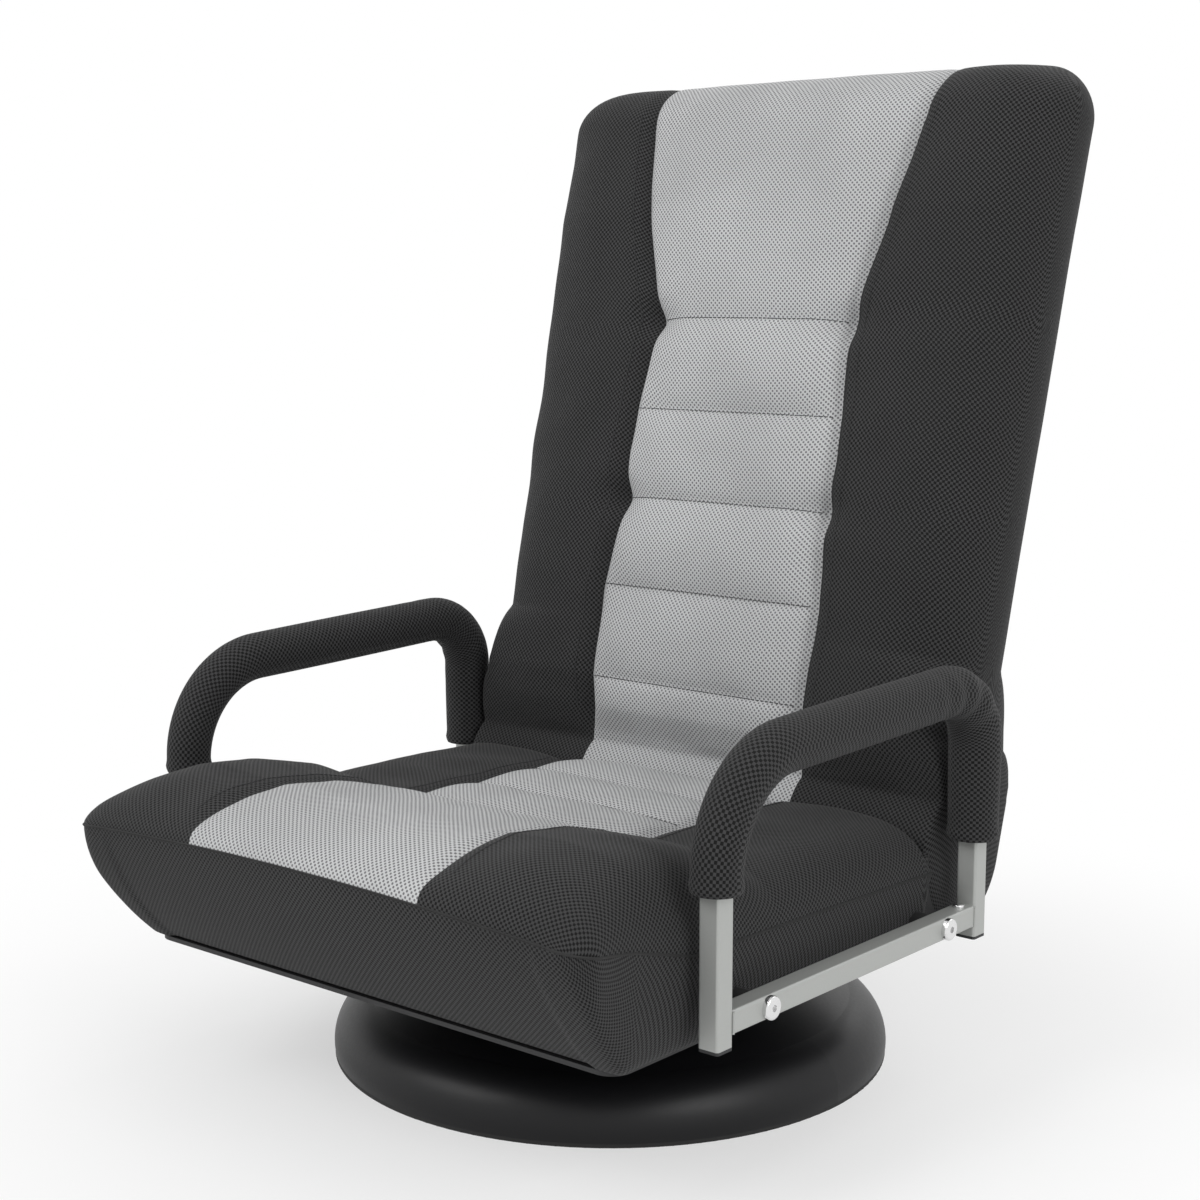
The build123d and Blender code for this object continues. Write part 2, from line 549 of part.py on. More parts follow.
# Hinge plates and pins, one set on each side
for side, sign in SIDES:
    seat_plate_plane = Plane.YZ.offset(sign * SEAT_PLATE_X)
    with BuildPart() as seat_plate:
        with BuildSketch(seat_plate_plane):
            with BuildLine():
                Polyline(
                    (SIDE_TUBE_REAR - SEAT_PLATE_LENGTH, FRAME_Z + SEAT_PLATE_INSET),
                    (SIDE_TUBE_REAR, FRAME_Z + SEAT_PLATE_INSET),
                    (HINGE_Y + SEAT_PLATE_NECK_Y, HINGE_Z - SEAT_PLATE_NECK_Z),
                    (HINGE_Y - SEAT_PLATE_NECK_Y, HINGE_Z + SEAT_PLATE_NECK_Z),
                    (SIDE_TUBE_REAR - SEAT_PLATE_LENGTH, FRAME_Z + SIDE_TUBE_HEIGHT - SEAT_PLATE_INSET),
                    close=True,
                )
            make_face()
            with Locations((HINGE_Y, HINGE_Z)):
                Circle(HINGE_EYE_RADIUS)
                Circle(RATCHET_ROOT_RADIUS)
            for tooth in range(RATCHET_TEETH):
                turn = radians(RATCHET_START - tooth * RATCHET_STEP)
                lead = radians(RATCHET_START - (tooth + 1) * RATCHET_STEP)
                tip = (HINGE_Y + RATCHET_TIP_RADIUS * cos(turn), HINGE_Z + RATCHET_TIP_RADIUS * sin(turn))
                root = (HINGE_Y + RATCHET_ROOT_RADIUS * cos(lead), HINGE_Z + RATCHET_ROOT_RADIUS * sin(lead))
                with BuildLine():
                    Polyline((HINGE_Y, HINGE_Z), tip, root, close=True)
                make_face()
            with Locations((HINGE_Y, HINGE_Z)):
                Circle(HINGE_PIN_RADIUS, mode=Mode.SUBTRACT)
            with Locations((ARM_BOLT_YS[1], ARM_BOLT_Z)):
                Circle(ARM_BOLT_RADIUS, mode=Mode.SUBTRACT)
        extrude(amount=sign * HINGE_PLATE)
    save(seat_plate.part, f"hinge_seat_plate_{side}")

    with BuildPart() as back_plate:
        with BuildSketch(Plane.YZ.offset(sign * BACK_PLATE_X)):
            with Locations((0, BACK_PLATE_REACH / 2)):
                Rectangle(BACK_TUBE, BACK_PLATE_REACH)
            Circle(HINGE_EYE_RADIUS)
            with Locations((-BACK_TUBE / 2, PAWL_PIN_UP)):
                Circle(BACK_TUBE / 2)
            Circle(HINGE_PIN_RADIUS + HINGE_PIN_PLAY, mode=Mode.SUBTRACT)
            with Locations((-BACK_TUBE / 2, PAWL_PIN_UP)):
                Circle(PAWL_PIN_RADIUS, mode=Mode.SUBTRACT)
        extrude(amount=sign * HINGE_PLATE)
    save(on_back(back_plate.part), f"hinge_back_plate_{side}")

    with BuildPart() as hinge_pin:
        with BuildSketch(Plane.YZ.offset(sign * (BACK_PLATE_X - SOFT_GAP))):
            with Locations((HINGE_Y, HINGE_Z)):
                Circle(HINGE_PIN_RADIUS)
        extrude(amount=sign * (2 * HINGE_PLATE + 2 * SOFT_GAP))
        with BuildSketch(Plane.YZ.offset(sign * (BACK_PLATE_X - SOFT_GAP))):
            with Locations((HINGE_Y, HINGE_Z)):
                Circle(HINGE_PIN_HEAD_RATIO * HINGE_PIN_RADIUS)
        extrude(amount=-sign * HINGE_PIN_HEAD)
        with BuildSketch(Plane.YZ.offset(sign * (SEAT_PLATE_X + HINGE_PLATE))):
            with Locations((HINGE_Y, HINGE_Z)):
                Circle(HINGE_PIN_HEAD_RATIO * HINGE_PIN_RADIUS)
        extrude(amount=sign * HINGE_PIN_HEAD)
    save(hinge_pin.part, f"hinge_pin_{side}")

    # Pawl: hangs on its pin above the ratchet, beside the seat plate
    pawl_tip = RATCHET_TIP_RADIUS + PAWL_CLEARANCE
    with BuildPart() as pawl:
        with BuildSketch(Plane.YZ.offset(sign * SEAT_PLATE_X)):
            with Locations((-BACK_TUBE / 2, PAWL_PIN_UP)):
                Circle(BACK_TUBE / 2)
            with BuildLine():
                Polyline(
                    (-BACK_TUBE, PAWL_PIN_UP),
                    (-BACK_TUBE / 2 - PAWL_TIP_HALF_WIDTH, pawl_tip),
                    (-BACK_TUBE / 2 + PAWL_TIP_HALF_WIDTH, pawl_tip),
                    (0, PAWL_PIN_UP),
                    close=True,
                )
            make_face()
            with Locations((-BACK_TUBE / 2, PAWL_PIN_UP)):
                Circle(PAWL_PIN_RADIUS + HINGE_PIN_PLAY, mode=Mode.SUBTRACT)
        extrude(amount=sign * HINGE_PLATE)
    save(on_back(pawl.part), f"pawl_{side}")

    with BuildPart() as pawl_pin:
        with BuildSketch(Plane.YZ.offset(sign * BACK_PLATE_X)):
            with Locations((-BACK_TUBE / 2, PAWL_PIN_UP)):
                Circle(PAWL_PIN_RADIUS)
        extrude(amount=sign * (2 * HINGE_PLATE + 2 * SOFT_GAP))
        with BuildSketch(Plane.YZ.offset(sign * (SEAT_PLATE_X + HINGE_PLATE + SOFT_GAP))):
            with Locations((-BACK_TUBE / 2, PAWL_PIN_UP)):
                Circle(PAWL_PIN_HEAD_RATIO * PAWL_PIN_RADIUS)
        extrude(amount=sign * PAWL_PIN_HEAD)
    save(on_back(pawl_pin.part), f"pawl_pin_{side}")

# Back frame: two uprights joined across the top, the middle and the foot
for side, sign in SIDES:
    upright_middle = 0.5 * (BACK_TUBE_START + BACK_TUBE_TOP)
    plane = Plane((sign * BACK_TUBE_X, 0, upright_middle))
    upright = square_tube(plane, BACK_TUBE, BACK_TUBE, BACK_TUBE_TOP - BACK_TUBE_START)
    save(on_back(upright), f"back_side_tube_{side}")


def back_cross_tube(up):
    """A tube across the back frame, between the uprights."""
    plane = Plane((0, 0, up), x_dir=(0, 1, 0), z_dir=(1, 0, 0))
    return square_tube(plane, BACK_TUBE, BACK_TUBE, 2 * (BACK_TUBE_X - BACK_TUBE / 2))


save(on_back(back_cross_tube(BACK_TOP_TUBE_UP)), "back_top_tube")
with BuildPart() as back_cross_tubes:
    for up in BACK_CROSS_UPS:
        add(back_cross_tube(up))
save(on_back(back_cross_tubes.part), "back_cross_tubes")

# Back cushion: a foam block in a cover that is open round the hinges
with BuildPart() as pocket:
    for side, sign in SIDES:
        with BuildSketch(Plane.YZ.offset(sign * HINGE_POCKET_INSIDE)):
            Circle(HINGE_POCKET_RADIUS)
            with Locations((-BACK_TUBE / 2, PAWL_PIN_UP)):
                Circle(BACK_TUBE / 2 + PAWL_POCKET_ROOM)
        extrude(amount=sign * HINGE_POCKET_DEPTH)
with BuildPart() as back_cover:
    add(cushion(back_section, BACK_HALF_WIDTH, BACK_EDGE_SHRINK, BACK_CHANNEL_CROWN))
    add(back_core(0.0), mode=Mode.SUBTRACT)
    add(pocket.part, mode=Mode.SUBTRACT)
save(on_back(back_cover.part), "back_cover")

with BuildPart() as back_foam:
    add(back_core(SOFT_GAP))
    add(pocket.part, mode=Mode.SUBTRACT)
    frame_depth = BACK_TUBE + 2 * SOFT_GAP
    for side, sign in SIDES:
        with Locations((sign * (BACK_TUBE_X + HINGE_PLATE / 2 + SOFT_GAP), 0, 0)):
            Box(
                BACK_TUBE + HINGE_PLATE + 4 * SOFT_GAP,
                frame_depth,
                BACK_TUBE_TOP + SOFT_GAP,
                align=(Align.CENTER, Align.CENTER, Align.MIN),
                mode=Mode.SUBTRACT,
            )
    for up in (*BACK_CROSS_UPS, BACK_TOP_TUBE_UP):
        with Locations((0, 0, up)):
            Box(2 * BACK_TUBE_X, frame_depth, frame_depth, mode=Mode.SUBTRACT)
save(on_back(back_foam.part), "back_foam")

# Seat cushion: a foam block in a cover that is open underneath, where the panel closes it
plate_slot = HINGE_PLATE + HINGE_PIN_HEAD + 2 * SOFT_GAP
with BuildPart() as hinge_slots:
    for side, sign in SIDES:
        slot_x = sign * (SEAT_PLATE_X + plate_slot / 2 - SOFT_GAP)
        slot_front = SIDE_TUBE_REAR - SEAT_PLATE_LENGTH - PLATE_SLOT_ROOM
        with Locations((slot_x, slot_front, SEAT_BOTTOM - CUT_OVERLAP)):
            slot_height = HINGE_Z + PLATE_SLOT_RISE - SEAT_BOTTOM
            Box(plate_slot, PLATE_SLOT_LENGTH, slot_height, align=(Align.CENTER, Align.MIN, Align.MIN))
        for y in ARM_BOLT_YS:
            with Locations(Location((sign * SIDE_TUBE_OUTSIDE, y, ARM_BOLT_Z), (0, 90 * sign, 0))):
                Cylinder(
                    SPACER_RADIUS + SOFT_GAP,
                    SPACER_SLOT_LENGTH,
                    align=(Align.CENTER, Align.CENTER, Align.MIN),
                )
with BuildPart() as seat_cover:
    add(cushion(seat_section, SEAT_HALF_WIDTH, SEAT_EDGE_SHRINK, SEAT_CHANNEL_CROWN))
    add(seat_core(0.0), mode=Mode.SUBTRACT)
    add(hinge_slots.part, mode=Mode.SUBTRACT)
save(seat_cover.part, "seat_cover")

with BuildPart() as seat_foam:
    add(seat_core(SOFT_GAP))
    add(hinge_slots.part, mode=Mode.SUBTRACT)
    for side, sign in SIDES:
        with Locations((sign * SIDE_TUBE_X, side_middle, SEAT_BOTTOM - CUT_OVERLAP)):
            Box(
                SIDE_TUBE_WIDTH + 2 * SOFT_GAP,
                side_length + 2 * SOFT_GAP,
                SIDE_TUBE_HEIGHT + CUT_OVERLAP + SOFT_GAP,
                align=(Align.CENTER, Align.CENTER, Align.MIN),
                mode=Mode.SUBTRACT,
            )
    tube_ys = (
        SIDE_TUBE_FRONT + CROSS_TUBE / 2,
        SIDE_TUBE_REAR - CROSS_TUBE / 2,
        -RACE_BOLT_PITCH_Y / 2,
        RACE_BOLT_PITCH_Y / 2,
    )
    for y in tube_ys:
        with Locations((0, y, SEAT_BOTTOM - CUT_OVERLAP)):
            Box(
                2 * SIDE_TUBE_INSIDE,
                CROSS_TUBE + 2 * SOFT_GAP,
                CROSS_TUBE + CUT_OVERLAP + SOFT_GAP,
                align=(Align.CENTER, Align.CENTER, Align.MIN),
                mode=Mode.SUBTRACT,
            )
save(seat_foam.part, "seat_foam")

# Zip: the closed opening of the cover, sewn under the front edge
with BuildPart() as cover_zip:
    with BuildSketch(Plane.XY.offset(PANEL_Z - ZIP_THICKNESS)):
        with Locations((0, SEAT_PANEL_FRONT + ZIP_WIDTH)):
            SlotOverall(ZIP_LENGTH, ZIP_WIDTH)
    extrude(amount=ZIP_THICKNESS)
    with BuildSketch(Plane.XY.offset(PANEL_Z - ZIP_THICKNESS)):
        with Locations((0, SEAT_PANEL_FRONT + ZIP_WIDTH)):
            SlotOverall(ZIP_LENGTH - ZIP_WIDTH, ZIP_WIDTH / 3)
    extrude(amount=-ZIP_TEETH_HEIGHT)
save(cover_zip.part, "cover_zip")

# Arms: a bent square tube, a rail across its feet, and the padded sleeve on top
for side, sign in SIDES:
    arm_plane = Plane((sign * ARM_AXIS_X, 0, 0), x_dir=(0, 1, 0), z_dir=(1, 0, 0))
    corners = (
        (ARM_FRONT_AXIS_Y, ARM_FOOT_Z),
        (ARM_FRONT_AXIS_Y, ARM_FRONT_TOP),
        (ARM_REAR_AXIS_Y, ARM_REAR_TOP),
        (ARM_REAR_AXIS_Y, ARM_FOOT_Z),
    )
    with BuildPart() as loop:
        with BuildLine(arm_plane) as loop_path:
            FilletPolyline(*corners, radius=(ARM_FRONT_BEND, ARM_REAR_BEND))
        with BuildSketch(Plane(loop_path.line @ 0, x_dir=(1, 0, 0), z_dir=loop_path.line % 0)):
            RectangleRounded(ARM_TUBE, ARM_TUBE, ARM_TUBE_CORNER)
            RectangleRounded(ARM_BORE, ARM_BORE, ARM_BORE_CORNER, mode=Mode.SUBTRACT)
        sweep()
    save(loop.part, f"arm_loop_{side}")

    rail_front = ARM_FRONT_Y + ARM_TUBE
    rail_rear = ARM_REAR_Y - ARM_TUBE
    rail_middle = (sign * ARM_AXIS_X, 0.5 * (rail_front + rail_rear), ARM_BOLT_Z)
    screw_place = (sign * ARM_AXIS_X, rail_rear - RAIL_SCREW_INSET, RAIL_Z + ARM_TUBE)
    with BuildPart() as rail:
        with BuildSketch(Plane(rail_middle, x_dir=(1, 0, 0), z_dir=(0, -1, 0))):
            RectangleRounded(ARM_TUBE, ARM_TUBE, ARM_TUBE_CORNER)
            RectangleRounded(ARM_BORE, ARM_BORE, ARM_BORE_CORNER, mode=Mode.SUBTRACT)
        extrude(amount=0.5 * (rail_rear - rail_front), both=True)
        for y in ARM_BOLT_YS:
            with Locations(Location((sign * ARM_OUTSIDE, y, ARM_BOLT_Z), (0, 90 * sign, 0))):
                Hole(ARM_BOLT_RADIUS, depth=2 * ARM_TUBE)
        with Locations(screw_place):
            Hole(RAIL_SCREW_RADIUS, depth=2 * TUBE_WALL)
    save(rail.part, f"arm_rail_{side}")

    sleeve_corners = (
        (ARM_FRONT_AXIS_Y, ARM_SLEEVE_FRONT_Z),
        (ARM_FRONT_AXIS_Y, ARM_FRONT_TOP),
        (ARM_REAR_AXIS_Y, ARM_REAR_TOP),
        (ARM_REAR_AXIS_Y, ARM_SLEEVE_REAR_Z),
    )
    with BuildPart() as sleeve:
        with BuildLine(arm_plane) as sleeve_path:
            FilletPolyline(*sleeve_corners, radius=(ARM_FRONT_BEND, ARM_REAR_BEND))
        with BuildSketch(Plane(sleeve_path.line @ 0, x_dir=(1, 0, 0), z_dir=sleeve_path.line % 0)):
            Circle(ARM_SLEEVE_RADIUS)
            sleeve_bore = ARM_TUBE + 2 * SOFT_GAP
            RectangleRounded(sleeve_bore, sleeve_bore, ARM_TUBE_CORNER, mode=Mode.SUBTRACT)
        sweep()
    save(sleeve.part, f"arm_sleeve_{side}")

    arm_bolt = bolt(
        ARM_BOLT_RADIUS,
        ARM_OUTSIDE - SIDE_TUBE_OUTSIDE + ARM_BOLT_GRIP,
        ARM_BOLT_HEAD_RADIUS,
        ARM_BOLT_HEAD_HEIGHT,
        ARM_BOLT_SOCKET_RADIUS,
    )
    with BuildPart() as arm_bolts:
        for y in ARM_BOLT_YS:
            add(Location((sign * ARM_OUTSIDE, y, ARM_BOLT_Z), (0, -90 * sign, 0)) * arm_bolt)
    save(arm_bolts.part, f"arm_bolts_{side}")

    # The rear spacer bears on the hinge plate, the front one on the side tube
    with BuildPart() as spacers:
        for y, inside in zip(ARM_BOLT_YS, (SIDE_TUBE_OUTSIDE, SEAT_PLATE_X + HINGE_PLATE)):
            with BuildSketch(Plane.YZ.offset(sign * inside)):
                with Locations((y, ARM_BOLT_Z)):
                    Circle(SPACER_RADIUS)
                    Circle(ARM_BOLT_RADIUS, mode=Mode.SUBTRACT)
            extrude(amount=sign * (ARM_OUTSIDE - ARM_TUBE - inside))
    save(spacers.part, f"arm_spacers_{side}")

    feet = ((sign * ARM_AXIS_X, ARM_FRONT_AXIS_Y), (sign * ARM_AXIS_X, ARM_REAR_AXIS_Y))
    with BuildPart() as end_caps:
        with BuildSketch(Plane.XY.offset(ARM_FOOT_Z)):
            with Locations(*feet):
                RectangleRounded(ARM_TUBE, ARM_TUBE, ARM_TUBE_CORNER)
        extrude(amount=-END_CAP)
        with BuildSketch(Plane.XY.offset(ARM_FOOT_Z)):
            with Locations(*feet):
                RectangleRounded(ARM_BORE, ARM_BORE, ARM_BORE_CORNER)
        extrude(amount=3 * END_CAP)
    save(end_caps.part, f"post_end_caps_{side}")

    rail_screw = bolt(RAIL_SCREW_RADIUS, 3 * TUBE_WALL, 2 * RAIL_SCREW_RADIUS, BOLT_HEAD_HEIGHT)
    with BuildPart() as screw:
        add(Location(screw_place, (180, 0, 0)) * rail_screw)
    save(screw.part, f"rail_screw_{side}")
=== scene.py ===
# %% [markdown]
# # A floor gaming chair
# The frame of the chair comes from the CAD model: base, arm tubes, bolts and hinges.
# Here it gets its cloth: two quilted cushions, two padded arm sleeves, stitches and a zip.

# %% Load the frame
import json
import math

import bpy
import numpy as np
from mathutils import Matrix, Vector, noise


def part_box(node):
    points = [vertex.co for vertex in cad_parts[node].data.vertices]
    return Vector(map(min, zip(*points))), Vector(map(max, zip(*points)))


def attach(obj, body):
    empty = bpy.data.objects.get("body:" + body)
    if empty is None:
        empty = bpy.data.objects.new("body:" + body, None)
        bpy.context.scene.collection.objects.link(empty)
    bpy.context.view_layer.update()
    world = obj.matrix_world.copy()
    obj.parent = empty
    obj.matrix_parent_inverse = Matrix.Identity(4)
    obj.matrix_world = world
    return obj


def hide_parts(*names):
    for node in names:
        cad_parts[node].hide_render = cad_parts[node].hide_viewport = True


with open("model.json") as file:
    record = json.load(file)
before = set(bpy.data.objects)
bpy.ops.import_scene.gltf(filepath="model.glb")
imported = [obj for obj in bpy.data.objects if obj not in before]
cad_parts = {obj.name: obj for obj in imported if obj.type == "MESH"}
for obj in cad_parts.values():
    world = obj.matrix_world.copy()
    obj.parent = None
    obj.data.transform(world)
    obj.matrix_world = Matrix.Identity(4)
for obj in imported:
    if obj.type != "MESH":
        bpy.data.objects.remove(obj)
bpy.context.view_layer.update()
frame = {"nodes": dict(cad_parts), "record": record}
scene = bpy.context.scene
scene.view_settings.view_transform = "Standard"

# %% [markdown]
# Finishes are small node trees. Writing each Math node by hand is long, so one class wraps a socket:
# adding or multiplying two of them makes the node, and `make` makes any other node.


# %% A socket that can be calculated with
class Wire:
    def __init__(self, tree, socket):
        self.tree = tree
        self.socket = socket

    def make(self, kind, settings=None, out=0, **inputs):
        """Any node: its settings first, then its sockets, by name or as i0, i1 and so on."""
        node = self.tree.nodes.new(kind)
        for key, value in (settings or {}).items():
            setattr(node, key, value)
        for key, value in inputs.items():
            index = int(key[1:]) if key[0] == "i" and key[1:].isdigit() else key.replace("_", " ")
            target = node.inputs[index]
            if isinstance(value, Wire):
                self.tree.links.new(value.socket, target)
            else:
                target.default_value = value
        return Wire(self.tree, node.outputs[out])

    def math(self, operation, first, second=0.0):
        return self.make("ShaderNodeMath", {"operation": operation}, i0=first, i1=second)

    def __add__(self, other):
        return self.math("ADD", self, other)

    def __radd__(self, other):
        return self.math("ADD", other, self)

    def __rsub__(self, other):
        return self.math("SUBTRACT", other, self)

    def __mul__(self, other):
        return self.math("MULTIPLY", self, other)

    def sine(self):
        return self.math("SINE", self)

    def ramp(self, low, high):
        smooth = {"interpolation_type": "SMOOTHSTEP"}
        return self.make("ShaderNodeMapRange", smooth, Value=self, From_Min=low, From_Max=high)

    def mix(self, first, second):
        return self.make("ShaderNodeMix", {"data_type": "RGBA"}, 2, i0=self, i6=first, i7=second)


def new_finish(name):
    """An empty material, its shader and a starting wire."""
    finish = bpy.data.materials.new(name)
    finish.use_nodes = True
    shader = finish.node_tree.nodes["Principled BSDF"]
    return finish, shader, Wire(finish.node_tree, None)


def join(wire, shader, socket):
    wire.tree.links.new(wire.socket, shader.inputs[socket])


def opaque(colour, share=1.0):
    """A colour with its alpha, darkened to a share of itself."""
    return [c * share for c in colour] + [1]


# %% [markdown]
# The cover is a spacer mesh: a knitted cloth with rows of small open cells. The cells follow the cloth,
# so they read the piece's own UV map, which is laid out in metres. Two crossed sine waves give the cells,
# whose dark colour is painted shade inside the open holes. A soft cloud varies the dye, and the same cells
# dent the surface through a Bump node.

# %% Mesh cloth
WEAVE_PITCH = 0.0038
WEAVE_DEPTH = 0.0006
# How far the open cells darken towards their painted shade colour
CELL_SHADE_STRENGTH = 0.92
CLOUD_SCALE = 9.0
CLOUD_SHADE = 0.88
CLOUD_RANGE = (0.3, 0.7)
CLOTH_ROUGHNESS = 0.72
CLOTH_ROUGHNESS_SPREAD = 0.2
CLOTH_GLOSS = {"Sheen Weight": 0.06, "Sheen Roughness": 0.5, "Specular IOR Level": 0.18}


def mesh_cloth(name, thread, cell_shade, relief, open_from, open_full):
    """Knitted mesh whose cells open where the crossed waves rise from open_from to open_full; open cells get
    painted shade.
    """
    finish, shader, wire = new_finish(name)
    uv = wire.make("ShaderNodeUVMap", {"uv_map": "cloth"})
    across = wire.make("ShaderNodeSeparateXYZ", Vector=uv)
    along = Wire(wire.tree, across.socket.node.outputs["Y"])
    turns = 2 * math.pi / WEAVE_PITCH
    opening = ((across * turns).sine() * (along * turns).sine()).ramp(open_from, open_full)
    place = wire.make("ShaderNodeTexCoord", out="Object")
    cloud = wire.make("ShaderNodeTexNoise", Vector=place, Scale=CLOUD_SCALE, Detail=3.0)
    shade = cloud.ramp(*CLOUD_RANGE).mix(opaque(thread, CLOUD_SHADE), opaque(thread))
    # The open cells are real holes; their dark colour is painted shade inside them.
    join((opening * CELL_SHADE_STRENGTH).mix(shade, opaque(cell_shade)), shader, "Base Color")
    join(CLOTH_ROUGHNESS + cloud * CLOTH_ROUGHNESS_SPREAD, shader, "Roughness")
    bump = wire.make("ShaderNodeBump", Strength=relief, Distance=WEAVE_DEPTH, Height=1 - opening)
    join(bump, shader, "Normal")
    for socket, value in CLOTH_GLOSS.items():
        shader.inputs[socket].default_value = value
    return finish


# Each cell colour is painted shade inside the knit's open holes, not a dye of the cloth.
black_cloth = mesh_cloth(
    "black_mesh_cloth",
    thread=(0.05, 0.05, 0.051),
    cell_shade=(0.0015, 0.0015, 0.0015),
    relief=0.8,
    open_from=-0.2,
    open_full=0.25,
)
grey_cloth = mesh_cloth(
    "grey_mesh_cloth",
    thread=(0.56, 0.565, 0.57),
    cell_shade=(0.14, 0.14, 0.145),
    relief=0.7,
    open_from=0.02,
    open_full=0.5,
)
print("weave pitch", WEAVE_PITCH, "m")

# %% [markdown]
# Hard finishes: satin black on the pressed base, silver paint on the arm tubes, bright bolts, black rubber.
# A fine noise breaks up the gloss, as paint and pressed steel do. The hidden frame's dark paint is a guess.

# %% Hard finishes
GRAIN_SHADE = 0.92
GRAIN_DEPTH = 0.0003
BASE_SPECULAR = 0.3


def hard_finish(name, colour, metallic, roughness, spread, scale, relief):
    """Paint, metal or plastic: a fine grain varies its shade and roughness, and dents it by relief."""
    finish, shader, wire = new_finish(name)
    place = wire.make("ShaderNodeTexCoord", out="Object")
    grain = wire.make("ShaderNodeTexNoise", Vector=place, Scale=scale, Detail=4.0)
    join(grain.mix(opaque(colour, GRAIN_SHADE), opaque(colour)), shader, "Base Color")
    join(roughness - spread / 2 + grain * spread, shader, "Roughness")
    shader.inputs["Metallic"].default_value = metallic
    if relief:
        bump = wire.make("ShaderNodeBump", Strength=relief, Distance=GRAIN_DEPTH, Height=grain)
        join(bump, shader, "Normal")
    return finish


# Each row: name, colour, metallic, roughness, its spread, grain scale, relief
HARD_FINISHES = {
    "black_paint": ("satin_black_base", (0.006, 0.006, 0.007), 0.0, 0.42, 0.12, 500.0, 0.15),
    "silver_paint": ("silver_arm_paint", (0.43, 0.44, 0.425), 0.35, 0.4, 0.12, 700.0, 0.1),
    "frame_steel": ("dark_frame_paint", (0.03, 0.03, 0.03), 0.2, 0.5, 0.15, 300.0, 0.1),
    "bright_screw": ("bright_bolt", (0.78, 0.78, 0.78), 1.0, 0.18, 0.1, 200.0, 0.0),
    "black_rubber": ("pad_rubber", (0.015, 0.015, 0.015), 0.0, 0.8, 0.1, 900.0, 0.4),
    "black_plastic": ("board_black", (0.02, 0.02, 0.021), 0.0, 0.6, 0.15, 600.0, 0.3),
    "foam": ("cream_foam", (0.6, 0.56, 0.42), 0.0, 0.95, 0.05, 1200.0, 0.6),
}
finishes = {slot: hard_finish(*row) for slot, row in HARD_FINISHES.items()}
finishes["black_mesh"] = black_cloth
base_shader = finishes["black_paint"].node_tree.nodes["Principled BSDF"]
base_shader.inputs["Specular IOR Level"].default_value = BASE_SPECULAR
thread_finish = hard_finish("stitch_thread", (0.022, 0.022, 0.023), 0.0, 0.7, 0.1, 800.0, 0.0)
for part in frame["record"]["subparts"]:
    for place in frame["nodes"][part["node"]].material_slots:
        place.material = finishes[part["material_slot"]]
for place in frame["nodes"]["cover_zip"].material_slots:
    place.material = thread_finish
print("finishes", len(finishes))

# %% [markdown]
# A cushion is two sheets of cloth sewn round the rim. Blender's cloth simulation could blow one up from a
# slack bag, but the seams of this chair have to meet the hinge and the board exactly. So each sheet is a grid
# of points worked out by a formula: the seam between black and grey runs along one grid line, and the cloth's
# UV map is measured along the grid.

# %% Making a piece of cloth
MM = 0.001


def cloth_piece(name, points, faces, uvs, body, smooth=True, greys=None, replaced=()):
    """A padded piece from points and a cloth map in millimetres; greys marks each grey face with 1."""
    mesh = bpy.data.meshes.new(name)
    mesh.from_pydata((points * MM).tolist(), [], faces)
    cloth = mesh.uv_layers.new(name="cloth")
    cloth.data.foreach_set("uv", (np.array(uvs) * MM).astype(np.float32).ravel())
    mesh.polygons.foreach_set("use_smooth", [smooth] * len(faces))
    mesh.materials.append(black_cloth)
    if greys:
        mesh.materials.append(grey_cloth)
        mesh.polygons.foreach_set("material_index", greys)
    mesh.update()
    piece = bpy.data.objects.new(name, mesh)
    scene.collection.objects.link(piece)
    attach(piece, body)
    if replaced:
        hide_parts(*replaced)
    print(name, len(faces), "faces")


def lengths(grid, axis):
    """Length of cloth from the grid's first line to each of its points."""
    start = np.take(grid, [0], axis)
    return np.cumsum(np.linalg.norm(np.diff(grid, axis=axis, prepend=start), axis=-1), axis=axis)


def cushion(name, front, rear, body, replaced):
    """Sews two (rows, columns, 3) grids that share their rim; the front one has the grey panel."""
    rows, columns = front.shape[:2]
    inside = np.zeros((rows, columns), bool)
    inside[1:-1, 1:-1] = True
    index_front = np.arange(rows * columns).reshape(rows, columns)
    index_rear = index_front.copy()
    index_rear[inside] = rows * columns + np.arange(inside.sum())
    points = np.concatenate([front.reshape(-1, 3), rear[inside]])
    faces, uvs, greys = [], [], []
    for grid, index, is_front in ((front, index_front, True), (rear, index_rear, False)):
        across = lengths(grid, 1)
        across -= across[:, columns // 2][:, None]
        along = lengths(grid, 0)
        for j in range(rows - 1):
            for i in range(columns - 1):
                corners = [(j, i), (j, i + 1), (j + 1, i + 1), (j + 1, i)]
                if not is_front:
                    corners.reverse()
                faces.append([index[c] for c in corners])
                uvs.extend((across[c], along[c]) for c in corners)
                greys.append(1 if is_front and GREY_FIRST <= i < GREY_LAST else 0)
    cloth_piece(name, points, faces, uvs, body, greys=greys, replaced=replaced)


# %% [markdown]
# The formulas are put together from a few curves: a table that is read along the cushion, a fade from 0 to 1,
# a rounded edge, the pillows between sewn lines, and small creases from a fixed noise.

# %% Curves that shape the cloth
ROLL_FULLNESS = 0.5
SIDE_COLUMNS = 34
GREY_COLUMNS = 64
GREY_FIRST = SIDE_COLUMNS
GREY_LAST = SIDE_COLUMNS + GREY_COLUMNS
RIM_CROWDING = 1.8
NOISE_LAYER = 3.7


def follow(value, table):
    """Reads a table of (place, size) pairs at each value."""
    places, sizes = zip(*table)
    return np.interp(value, places, sizes)


def fade(value, start, stop):
    """0 up to start, 1 from stop on, and straight in between."""
    return np.clip((value - start) / (stop - start), 0, 1)


